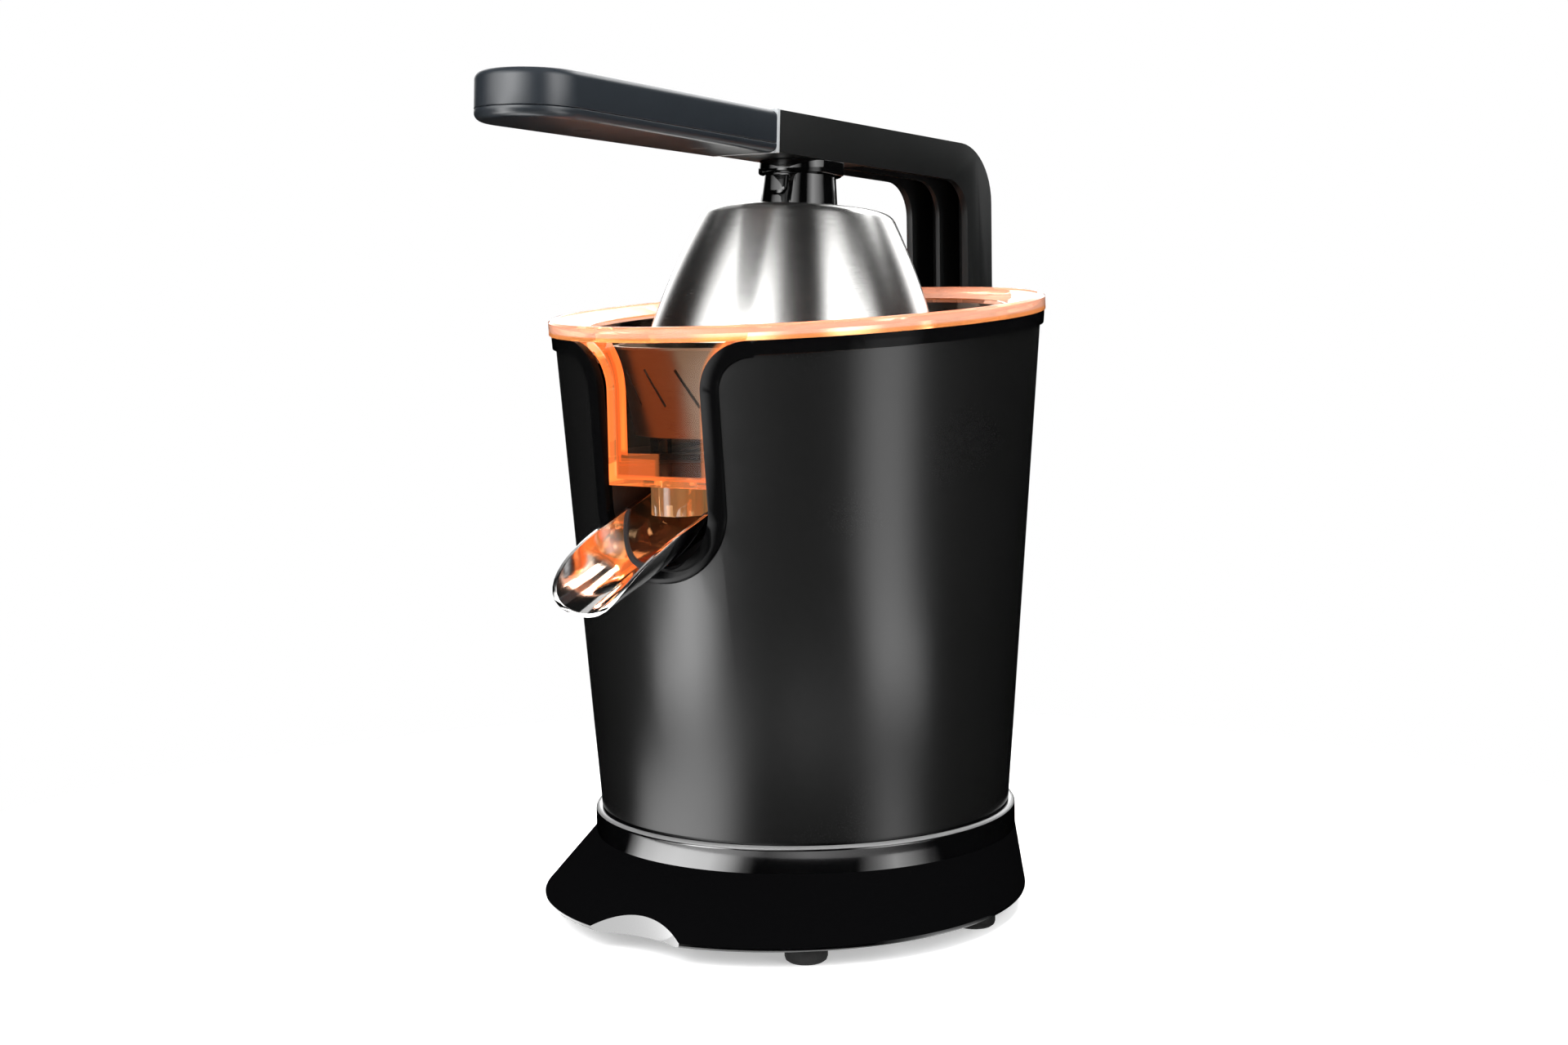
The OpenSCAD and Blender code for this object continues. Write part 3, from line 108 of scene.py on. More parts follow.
class Graph:
    """Node tree under construction, with short calls to add and join nodes."""

    def __init__(self, tree: bpy.types.NodeTree) -> None:
        """Keeps the tree and empties it."""
        self.tree = tree
        tree.nodes.clear()

    @classmethod
    def open(cls, owner: Material | bpy.types.World) -> Graph:
        """Gives the empty node tree of a new material or world."""
        owner.use_nodes = True
        return cls(owner.node_tree)

    @staticmethod
    def fill(node: Node, values: dict[str, object]) -> None:
        """Sets constants on the inputs of a node, by their names."""
        for name, value in values.items():
            node.inputs[name].default_value = value

    def node(self, kind: str, values: dict[str, object] | None = None, **settings: object) -> Node:
        """Adds a node.

        Args:
            kind: Blender's name of the node type.
            values: constants of its inputs.
            settings: properties to set on the node.

        Returns:
            The new node.
        """
        made = self.tree.nodes.new(kind)
        for key, value in settings.items():
            setattr(made, key, value)
        self.fill(made, values or {})
        return made

    def join(self, source: Socket, target: Socket) -> None:
        """Links an output socket to an input socket."""
        self.tree.links.new(source, target)

    def leave(self, kind: str, shader: Socket) -> None:
        """Adds an output node and links a shader to its surface."""
        self.join(shader, self.node(kind).inputs["Surface"])

    def place(self) -> Socket:
        """Adds the Object coordinate."""
        return self.node("ShaderNodeTexCoord").outputs["Object"]

    def axes(self) -> tuple[Socket, ...]:
        """Adds the Object coordinate as three sockets, X, Y and Z."""
        split = self.node("ShaderNodeSeparateXYZ")
        self.join(self.place(), split.inputs["Vector"])
        return tuple(split.outputs)

    def length(self, vector: Socket) -> Socket:
        """Adds the length of a vector."""
        made = self.node("ShaderNodeVectorMath", operation="LENGTH")
        self.join(vector, made.inputs[0])
        return made.outputs["Value"]

    def compute(self, operation: str, first: Socket, second: Socket | float) -> Socket:
        """Adds a calculation.

        Args:
            operation: Blender's name of the calculation.
            first: first socket.
            second: second socket, or a number.

        Returns:
            The result's socket.
        """
        made = self.node("ShaderNodeMath", operation=operation)
        self.join(first, made.inputs[0])
        if isinstance(second, Socket):
            self.join(second, made.inputs[1])
        else:
            made.inputs[1].default_value = second
        return made.outputs["Value"]

    def remap(self, value: Socket, span: Span, onto: Span = (0.0, 1.0), soft: bool = True) -> Socket:
        """Adds a slope from one span of values to another.

        Args:
            value: socket to change.
            span: its values at the two ends of the slope.
            onto: results at the two ends.
            soft: whether the slope eases in and out.

        Returns:
            The result's socket.
        """
        ends = dict(zip(("From Min", "From Max", "To Min", "To Max"), (*span, *onto)))
        made = self.node("ShaderNodeMapRange", ends, interpolation_type="SMOOTHSTEP" if soft else "LINEAR")
        self.join(value, made.inputs["Value"])
        return made.outputs["Result"]

    def below(self, value: Socket, limit: float, margin: float) -> Socket:
        """Adds a soft step that is 1 below a limit and 0 above it."""
        return self.remap(value, (limit + margin, limit - margin))

    def noise(self, vector: Socket, scale: float, detail: float) -> Socket:
        """Adds a noise texture on a coordinate.

        Args:
            vector: coordinate that the noise reads.
            scale: noise scale.
            detail: number of octaves.

        Returns:
            The noise's socket.
        """
        made = self.node("ShaderNodeTexNoise", {"Scale": scale, "Detail": detail})
        self.join(vector, made.inputs["Vector"])
        return made.outputs["Fac"]

    def mix(self, share: Socket, first: Socket | Rgb, second: Rgb) -> Socket:
        """Adds a mix of two colours.

        Args:
            share: socket of the second colour's share.
            first: first colour, or its socket.
            second: second colour.

        Returns:
            The colour's socket.
        """
        made = self.node("ShaderNodeMix", data_type="RGBA")
        low, high = (socket for socket in made.inputs if socket.type == "RGBA")
        if isinstance(first, Socket):
            self.join(first, low)
        else:
            low.default_value = (*first, 1.0)
        high.default_value = (*second, 1.0)
        self.join(share, made.inputs["Factor"])
        return next(socket for socket in made.outputs if socket.type == "RGBA")

    def gradient(self, share: Socket, stops: Sequence[tuple[float, Rgb]]) -> Socket:
        """Adds a colour ramp.

        Args:
            share: socket with values from 0 to 1.
            stops: places on the ramp in order, each with its colour.

        Returns:
            The colour's socket.
        """
        made = self.node("ShaderNodeValToRGB")
        while len(made.color_ramp.elements) < len(stops):
            made.color_ramp.elements.new(0.5)
        for element, (place, color) in zip(made.color_ramp.elements, stops):
            element.position = place
            element.color = (*color, 1.0)
        self.join(share, made.inputs["Fac"])
        return made.outputs["Color"]

    def mix_shaders(self, share: Socket, first: Socket, second: Socket) -> Socket:
        """Adds a mix of two shaders.

        Args:
            share: socket of the second shader's share.
            first: first shader.
            second: second shader.

        Returns:
            The shader's socket.
        """
        made = self.node("ShaderNodeMixShader")
        self.join(share, made.inputs["Fac"])
        self.join(first, made.inputs[1])
        self.join(second, made.inputs[2])
        return made.outputs["Shader"]


class Effects:
    """Shader node groups that several finishes share."""

    fine_share = 0.35
    broad_scale = 14.0
    wave_distortion = 0.4

    @classmethod
    @cache
    def group(cls, texture: Texture) -> bpy.types.NodeTree:
        """Builds the node group of a texture, the first time that it is asked for.

        Args:
            texture: kind of detail.

        Returns:
            Group with the input Scale and the outputs Shade, Gloss and Height.
        """
        label, stretch = texture.value
        tree = bpy.data.node_groups.new(label, "ShaderNodeTree")
        tree.interface.new_socket("Scale", in_out="INPUT", socket_type="NodeSocketFloat")
        for name in ("Shade", "Gloss", "Height"):
            tree.interface.new_socket(name, in_out="OUTPUT", socket_type="NodeSocketFloat")
        graph = Graph(tree)
        entry = graph.node("NodeGroupInput")
        leave = graph.node("NodeGroupOutput")
        coordinate = graph.place()
        shaped = graph.node("ShaderNodeVectorMath", operation="MULTIPLY")
        shaped.inputs[1].default_value = stretch
        graph.join(coordinate, shaped.inputs[0])
        scaled = graph.node("ShaderNodeVectorMath", operation="SCALE")
        graph.join(shaped.outputs["Vector"], scaled.inputs[0])
        graph.join(entry.outputs["Scale"], scaled.inputs["Scale"])
        fine = graph.noise(scaled.outputs["Vector"], 1.0, 3.0)
        broad = graph.noise(coordinate, cls.broad_scale, 2.0)
        shade = fine
        if texture in (Texture.LAMINATED, Texture.WOUND):
            values = {"Scale": 1.0, "Distortion": cls.wave_distortion}
            wave = graph.node("ShaderNodeTexWave", values, wave_type="BANDS", bands_direction="Z")
            graph.join(scaled.outputs["Vector"], wave.inputs["Vector"])
            shade = wave.outputs["Fac"]
        sharp = graph.compute("MULTIPLY", fine, cls.fine_share)
        gloss = graph.compute("ADD", sharp, graph.compute("MULTIPLY", broad, 1 - cls.fine_share))
        graph.join(shade, leave.inputs["Shade"])
        graph.join(gloss, leave.inputs["Gloss"])
        graph.join(shade, leave.inputs["Height"])
        return tree


# Values of the detail's gloss between which the roughness changes
GLOSS_SPAN: Span = (0.3, 0.7)
BUMP_DISTANCE = 0.001
COAT_ROUGHNESS = 0.04
BRUSH_TURN = 0.25


@dataclass(frozen=True)
class Finish:
    """Surface finish with fine detail from a shared group."""

    label: str
    color: Rgb
    accent: Rgb
    roughness: Span
    texture: Texture = Texture.GRAIN
    scale: float = 1400.0
    depth: float = 0.03
    metallic: float = 0.0
    specular: float = 0.5
    coat: float = 0.0
    anisotropic: float = 0.0

    @cache
    def material(self) -> Material:
        """Builds the finish's material, the first time that it is asked for.

        Returns:
            Material with a Principled shader fed by the shared group.
        """
        made = bpy.data.materials.new(self.label)
        graph = Graph.open(made)
        shader = graph.node("ShaderNodeBsdfPrincipled", {
            "Metallic": self.metallic,
            "Specular IOR Level": self.specular,
            "Coat Weight": self.coat,
            "Coat Roughness": COAT_ROUGHNESS,
        })
        graph.leave("ShaderNodeOutputMaterial", shader.outputs["BSDF"])
        detail = graph.node("ShaderNodeGroup", node_tree=Effects.group(self.texture))
        graph.fill(detail, {"Scale": self.scale})
        color = graph.mix(detail.outputs["Shade"], self.color, self.accent)
        graph.join(color, shader.inputs["Base Color"])
        gloss = graph.remap(detail.outputs["Gloss"], GLOSS_SPAN, self.roughness, soft=False)
        graph.join(gloss, shader.inputs["Roughness"])
        bump = graph.node("ShaderNodeBump", {"Strength": self.depth, "Distance": BUMP_DISTANCE})
        graph.join(detail.outputs["Height"], bump.inputs["Height"])
        graph.join(bump.outputs["Normal"], shader.inputs["Normal"])
        if self.anisotropic:
            graph.fill(shader, {"Anisotropic": self.anisotropic, "Anisotropic Rotation": BRUSH_TURN})
            tangent = graph.node("ShaderNodeTangent", direction_type="RADIAL", axis="Z")
            graph.join(tangent.outputs["Tangent"], shader.inputs["Tangent"])
        self.extend(graph, shader)
        return made

    def extend(self, graph: Graph, shader: Node) -> None:
        """Adds to the material what a special finish has of its own."""


@dataclass(frozen=True)
class ClearFinish(Finish):
    """Clear tinted moulding, of which a share scatters light."""

    clear: float = 1.0
    # Strength of the painted glow, an emission that stands in for light scattered in the moulding
    glow: float = 0.0
    ior: float = 1.49

    def extend(self, graph: Graph, shader: Node) -> None:
        """Makes the shader clear, with a painted glow: an emission in the moulding's colour that stands in for light
        scattered inside it.
        """
        graph.fill(shader, {
            "Transmission Weight": self.clear,
            "IOR": self.ior,
            "Emission Color": (*self.color, 1.0),
            "Emission Strength": self.glow,
        })


@dataclass(frozen=True)
class EdgeGlow:
    """Painted edge glow of a clear moulding: where its colour deepens and it glows, standing in for light gathered at
    its edges; sizes in metres.
    """

    color: Rgb
    flare: Span
    reach: float
    front: float
    floor: float
    top: float
    sharp_margin: float = 0.0006
    wide_margin: float = 0.001


@dataclass(frozen=True)
class EdgeGlowFinish(ClearFinish):
    """Clear moulding with painted edge glow: a deeper colour and an emission along the borders of its window, standing
    in for light gathered there.
    """

    edge_glow: EdgeGlow | None = None

    def extend(self, graph: Graph, shader: Node) -> None:
        """Makes the shader clear, with painted edge glow at the borders: another colour and an emission."""
        super().extend(graph, shader)
        glow_share = self._edge_glow_mask(graph)
        inside = shader.inputs["Base Color"].links[0].from_socket
        graph.join(graph.mix(glow_share, inside, self.edge_glow.color), shader.inputs["Base Color"])
        graph.join(graph.compute("MULTIPLY", glow_share, self.glow), shader.inputs["Emission Strength"])
        graph.fill(shader, {"Emission Color": (*self.edge_glow.color, 1.0)})

    def _edge_glow_mask(self, graph: Graph) -> Socket:
        """Gives a socket that is 1 on the window's sides and floor, where the edge glow is painted, and 0 elsewhere."""
        x, y, z = graph.axes()
        b = self.edge_glow
        across = graph.compute("SUBTRACT", graph.compute("ABSOLUTE", x, 0.0), b.flare[0])
        above = graph.compute("MAXIMUM", graph.compute("SUBTRACT", z, b.flare[1]), 0.0)
        away = graph.node("ShaderNodeCombineXYZ")
        graph.join(across, away.inputs["X"])
        graph.join(above, away.inputs["Z"])
        side = graph.below(graph.length(away.outputs["Vector"]), b.reach, b.sharp_margin)
        edges = graph.compute("MAXIMUM", side, graph.below(z, b.floor, b.sharp_margin))
        front = graph.compute("MULTIPLY", edges, graph.below(y, b.front, b.wide_margin))
        return graph.compute("MULTIPLY", front, graph.below(z, b.top, b.wide_margin))


@dataclass(frozen=True)
class LayeredFinish(ClearFinish):
    """Clear moulding of the tilted flange, with painted edge glow: its colour and emission change from its underside to
    its top.
    """

    low: float = 0.0
    height: float = 1.0
    glow_layers: tuple[tuple[float, Rgb], ...] = ()

    def extend(self, graph: Graph, shader: Node) -> None:
        """Makes the shader clear, with painted edge glow: a colour and emission that follow the height above the
        flange's underside.
        """
        super().extend(graph, shader)
        _, y, z = graph.axes()
        rise = graph.compute("MULTIPLY", graph.compute("SUBTRACT", y, AXIS_Y), RIM_SLOPE)
        level = graph.compute("SUBTRACT", graph.compute("SUBTRACT", z, rise), self.low)
        color = graph.gradient(graph.compute("DIVIDE", level, self.height), self.glow_layers)
        graph.join(color, shader.inputs["Base Color"])
        graph.join(color, shader.inputs["Emission Color"])


GLOSS_BLACK = Finish(
    "gloss_black_moulding", (0.0008, 0.0008, 0.0009), (0.0014, 0.0014, 0.0015), (0.05, 0.09), depth=0.004
)
SLOPE_BLACK = replace(GLOSS_BLACK, label="slope_black_moulding", roughness=(0.08, 0.12), specular=0.0)
WALL_BLACK = replace(GLOSS_BLACK, label="wall_black_moulding", specular=1.0, coat=1.0)
# Painted highlight: lighter grey on the collar's rounded rim, standing in for the light line that its fillet reflects
RIM_HIGHLIGHT_GREY = Finish("collar_rim_painted_highlight", (0.085, 0.085, 0.085), (0.105, 0.105, 0.105), (0.28, 0.36), depth=0.004)
TRIM_BLACK = Finish(
    "trim_black_moulding", (0.0010, 0.0010, 0.0011), (0.0016, 0.0016, 0.0017), (0.08, 0.12), depth=0.004, specular=0.07
)
SATIN_BLACK = Finish("satin_black_shell", (0.002, 0.002, 0.002), (0.004, 0.004, 0.0039), (0.24, 0.28), scale=2600)
INNER_BLACK = Finish(
    "inner_black_moulding", (0.008, 0.008, 0.008), (0.014, 0.014, 0.014), (0.42, 0.52), scale=1800, depth=0.06
)
ARM_BLACK = Finish(
    "arm_black_moulding", (0.003, 0.0033, 0.0033), (0.005, 0.0053, 0.0053), (0.34, 0.42),
    scale=2200, depth=0.05, specular=0.3,
)
GRIP_BLACK = Finish("grip_soft_black", (0.006, 0.008, 0.0105), (0.009, 0.011, 0.0135), (0.26, 0.34), scale=2400)
SEAM_GREY = Finish("seam_grey", (0.20, 0.21, 0.215), (0.24, 0.25, 0.255), (0.30, 0.40))
RUBBER = Finish(
    "foot_rubber", (0.005, 0.005, 0.005), (0.009, 0.009, 0.0088), (0.62, 0.78), scale=1500, depth=0.15, specular=0.25
)
GASKET = Finish("gasket_black", (0.006, 0.006, 0.0065), (0.009, 0.009, 0.0095), (0.5, 0.6), specular=0.2)
# Painted edge glow of the bowl's window: deep orange colour and emission on its sides and floor
WINDOW_EDGE_GLOW = EdgeGlow(
    (1.0, 0.30, 0.09), flare=(0.0434, 0.2084), reach=0.0226, front=AXIS_Y - 0.062, floor=0.1768, top=0.2265
)
# Clear bowl; its glow sets the strength of the painted edge glow on the window's borders
CLEAR_ORANGE = EdgeGlowFinish(
    "clear_orange", (0.96, 0.75, 0.60), (0.97, 0.77, 0.63), (0.012, 0.03),
    depth=0.0, scale=200.0, glow=0.34, ior=1.17, edge_glow=WINDOW_EDGE_GLOW,
)
# Painted edge glow of the flange: orange at its lower and upper rims, pale between; these colours feed its colour and
# its emission
RIM_GLOW_ORANGE: Rgb = (1.0, 0.34, 0.10)
RIM_PALE: Rgb = (1.0, 0.50, 0.34)
RIM_TOP_GLOW: Rgb = (1.0, 0.42, 0.25)
FLANGE_ORANGE = LayeredFinish(
    "flange_orange", RIM_TOP_GLOW, RIM_TOP_GLOW, (0.05, 0.08),
    depth=0.0, scale=200.0, specular=0.2, clear=0.72, glow=0.08, ior=1.2, low=0.2325, height=0.0057,
    glow_layers=((0.0, RIM_GLOW_ORANGE), (0.22, RIM_GLOW_ORANGE), (0.34, RIM_PALE), (0.74, RIM_PALE), (0.88, RIM_TOP_GLOW), (1.0, RIM_TOP_GLOW)),
)
# The nozzle carries a faint painted glow (emission)
NOZZLE_AMBER = ClearFinish(
    "nozzle_amber", (1.0, 0.58, 0.28), (1.0, 0.62, 0.32), (0.02, 0.04), depth=0.0, scale=200.0, specular=0.4, glow=0.06
)
BRUSHED_STEEL = Finish(
    "brushed_steel", (0.62, 0.615, 0.60), (0.75, 0.745, 0.73), (0.19, 0.28), Texture.BRUSHED,
    scale=5200.0, metallic=1.0, anisotropic=0.75,
)
STRAINER_STEEL = Finish(
    "strainer_steel", (0.21, 0.20, 0.185), (0.27, 0.26, 0.24), (0.26, 0.36), Texture.BRUSHED, scale=4200.0, metallic=1.0
)
POLISHED_STEEL = Finish(
    "polished_steel", (0.80, 0.79, 0.78), (0.84, 0.83, 0.82), (0.04, 0.09), Texture.BRUSHED,
    scale=2600.0, depth=0.008, metallic=1.0,
)
TURNED_STEEL = Finish(
    "turned_steel", (0.46, 0.47, 0.48), (0.56, 0.57, 0.58), (0.25, 0.36), Texture.BRUSHED,
    scale=5000.0, depth=0.05, metallic=1.0,
)
LAMINATIONS = Finish(
    "motor_laminations", (0.16, 0.165, 0.17), (0.34, 0.345, 0.35), (0.38, 0.5), Texture.LAMINATED,
    scale=1900.0, depth=0.3, metallic=0.9,
)
CAST_ZINC = Finish(
    "cast_zinc", (0.42, 0.43, 0.44), (0.52, 0.53, 0.54), (0.42, 0.56), scale=900.0, depth=0.12, metallic=0.9
)
BRONZE = Finish(
    "sintered_bronze", (0.44, 0.28, 0.10), (0.56, 0.37, 0.15), (0.34, 0.46), scale=1600.0, depth=0.1, metallic=1.0
)
COPPER = Finish(
    "enamelled_copper", (0.42, 0.15, 0.045), (0.62, 0.26, 0.09), (0.26, 0.36), Texture.WOUND,
    scale=1700.0, depth=0.5, metallic=0.8,
)
NYLON = Finish("gear_nylon", (0.70, 0.67, 0.57), (0.76, 0.73, 0.64), (0.40, 0.52), scale=1100.0, depth=0.05)
CONE_BLACK = Finish("cone_black", (0.008, 0.008, 0.009), (0.012, 0.012, 0.013), (0.14, 0.22), depth=0.01)
SWITCH_BLUE = Finish("switch_housing", (0.02, 0.035, 0.06), (0.03, 0.045, 0.075), (0.4, 0.5))
SWITCH_RED = Finish("switch_plunger", (0.42, 0.045, 0.025), (0.5, 0.06, 0.035), (0.35, 0.45))


@dataclass(frozen=True)
class Ring:
    """One circle of a form that is built up ring by ring, in metres."""

    radius: float
    z: float
    y: float = AXIS_Y


class Workshop:
    """Modelling steps, each one an operator as used by hand."""

    @staticmethod
    def deselect() -> None:
        """Leaves edit mode and selects nothing."""
        if bpy.context.object and bpy.context.object.mode != "OBJECT":
            bpy.ops.object.mode_set(mode="OBJECT")
        bpy.ops.object.select_all(action="DESELECT")

    @staticmethod
    def activate(piece: Piece) -> None:
        """Makes a piece the only selected one."""
        Workshop.deselect()
        piece.select_set(True)
        bpy.context.view_layer.objects.active = piece

    @staticmethod
    def settle() -> None:
        """Puts the active piece's place into its mesh."""
        bpy.ops.object.transform_apply(location=True, rotation=True, scale=True)

    @staticmethod
    def circle(name: str, ring: Ring, sides: int) -> Piece:
        """Adds a circle and opens it in edit mode.

        Args:
            name: name of the new piece.
            ring: size and place of the circle.
            sides: number of points on it.

        Returns:
            The new piece, with its place in its mesh.
        """
        Workshop.deselect()
        bpy.ops.mesh.primitive_circle_add(vertices=sides, radius=ring.radius, location=(0.0, ring.y, ring.z))
        piece = bpy.context.object
        piece.name = name
        Workshop.settle()
        bpy.ops.object.mode_set(mode="EDIT")
        return piece

    @staticmethod
    def close() -> None:
        """Turns the faces of the open piece outwards and leaves edit mode."""
        bpy.ops.mesh.select_all(action="SELECT")
        bpy.ops.mesh.normals_make_consistent(inside=False)
        bpy.ops.object.mode_set(mode="OBJECT")

    @staticmethod
    def rings(name: str, stack: Sequence[Ring], sides: int, closed: bool) -> Piece:
        """Builds a form from a circle that is extruded from ring to ring.

        Args:
            name: name of the new piece.
            stack: rings in order.
            sides: number of points on each ring.
            closed: whether the first and last rings are filled.

        Returns:
            The new piece.
        """
        piece = Workshop.circle(name, stack[0], sides)
        if closed:
            bpy.ops.mesh.edge_face_add()
        for below, ring in zip(stack, stack[1:]):
            step = (0.0, ring.y - below.y, ring.z - below.z)
            bpy.ops.mesh.extrude_region_move(TRANSFORM_OT_translate={"value": step})
            share = ring.radius / below.radius
            bpy.ops.transform.resize(value=(share, share, 1.0), center_override=(0.0, ring.y, ring.z))
        Workshop.close()
        return piece

    @staticmethod
    def apply(piece: Piece, kind: str, **settings: object) -> None:
        """Adds a modifier to a piece and applies it.

        Args:
            piece: piece to change.
            kind: Blender's name of the modifier type.
            settings: properties to set on the modifier.
        """
        Workshop.activate(piece)
        modifier = piece.modifiers.new(kind.lower(), kind)
        for key, value in settings.items():
            setattr(modifier, key, value)
        bpy.ops.object.modifier_apply(modifier=modifier.name)

    @staticmethod
    def cut(piece: Piece, tool: Piece) -> None:
        """Cuts a tool out of a piece and removes the tool."""
        Workshop.apply(piece, "BOOLEAN", operation="DIFFERENCE", solver="EXACT", object=tool)
        bpy.data.objects.remove(tool)

    @staticmethod
    def smooth(piece: Piece, degrees: float) -> None:
        """Shades a piece smooth except across edges sharper than an angle."""
        Workshop.activate(piece)
        bpy.ops.object.shade_smooth_by_angle(angle=math.radians(degrees))

    @staticmethod
    def coat(piece: Piece, finish: Finish, test: Callable[[Face], bool]) -> None:
        """Gives some faces of a piece a finish of their own.

        Args:
            piece: piece that has its main finish.
            finish: finish of the chosen faces.
            test: says whether a face is chosen.
        """
        piece.data.materials.append(finish.material())
        for face in piece.data.polygons:
            if test(face):
                face.material_index = len(piece.data.materials) - 1

    @staticmethod
    def place(piece: Piece, matrix: Matrix) -> None:
        """Moves a piece by a matrix and puts its place into its mesh."""
        Workshop.activate(piece)
        piece.matrix_world = matrix @ piece.matrix_world
        Workshop.settle()

    @staticmethod
    def pick(piece: Piece, test: Callable[[Vector], bool], mode: str = "EDGE") -> None:
        """Selects in edit mode the points that pass a test, or the edges between such points.

        Args:
            piece: piece in edit mode.
            test: says whether a point is wanted.
            mode: EDGE or VERT.
        """
        bpy.ops.mesh.select_mode(type=mode)
        bpy.ops.mesh.select_all(action="DESELECT")
        bpy.ops.object.mode_set(mode="OBJECT")
        mesh = piece.data
        if mode == "VERT":
            for vertex in mesh.vertices:
                vertex.select = test(vertex.co)
        else:
            for edge in mesh.edges:
                edge.select = all(test(mesh.vertices[i].co) for i in edge.vertices)
        bpy.ops.object.mode_set(mode="EDIT")


class Assembly:
    """Group of CAD nodes and new pieces that are dressed together."""

    def __init__(self, nodes: dict[str, Piece]) -> None:
        """Keeps the frame's CAD nodes by name."""
        self.nodes = nodes

    def dress(self, finish: Finish, *names: str) -> None:
        """Gives CAD nodes a finish.

        Args:
            finish: finish to assign.
            names: nodes that get it.
        """
        for name in names:
            node = self.nodes[name]
            node.data.materials.clear()
            node.data.materials.append(finish.material())
            LOG.info("%s: CAD solid in %s", name, finish.label)

    def stand_in(self, piece: Piece, node: str, finish: Finish) -> None:
        """Shows a piece in place of a CAD node, on the node's body.

        Args:
            piece: new piece.
            node: CAD node that it replaces.
            finish: finish to assign.
        """
        piece.data.materials.clear()
        piece.data.materials.append(finish.material())
        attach(piece, self.nodes[node]["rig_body"])
        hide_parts(node)
        LOG.info("%s: %s in %s, %d faces", node, piece.name, finish.label, len(piece.data.polygons))

    def refined(self, node: str, finish: Finish, bevel: float = 0.0, angle: float = 30.0) -> Piece:
        """Shows a merged copy of a CAD node with rounded edges and smooth sides.

        Args:
            node: CAD node to copy.
            finish: finish to assign.
            bevel: rounding of its edges, in metres.
            angle: edges sharper than this stay as edges, in degrees.

        Returns:
            The copy, which replaces the node.
        """
        piece = bpy.data.objects.new(node + "_form", self.nodes[node].data.copy())
        bpy.context.scene.collection.objects.link(piece)
        Workshop.activate(piece)
        bpy.ops.object.mode_set(mode="EDIT")
        bpy.ops.mesh.select_all(action="SELECT")
        bpy.ops.mesh.remove_doubles(threshold=MERGE)
        bpy.ops.mesh.dissolve_limited(angle_limit=FLAT)
        bpy.ops.object.mode_set(mode="OBJECT")
        if piece.data.has_custom_normals:
            bpy.ops.mesh.customdata_custom_splitnormals_clear()
        if bevel:
            limit = {"limit_method": "ANGLE", "angle_limit": math.radians(angle)}
            Workshop.apply(piece, "BEVEL", width=bevel, segments=3, harden_normals=False, **limit)
        Workshop.smooth(piece, angle)
        self.stand_in(piece, node, finish)
        return piece


@dataclass
class BaseSizes:
    """Sizes of the base, in metres."""

    offset: float = 0.0145
    radius: float = 0.096
    lower_round: float = 0.002
    low: float = 0.0065
    slope_top: float = 0.0297
    collar_radius: float = 0.0846
    collar_top: float = 0.040
    collar_round: float = 0.0018
    ledge_radius: float = 0.070
    wall: float = 0.0024
    plate_radius: float = 0.09160
    plate_top: float = 0.0105
    recess_radius: float = 0.050
    recess_half: float = 0.0215
    recess_height: float = 0.05
    hollow_past: float = 0.002
    hollow_step: float = 0.0001


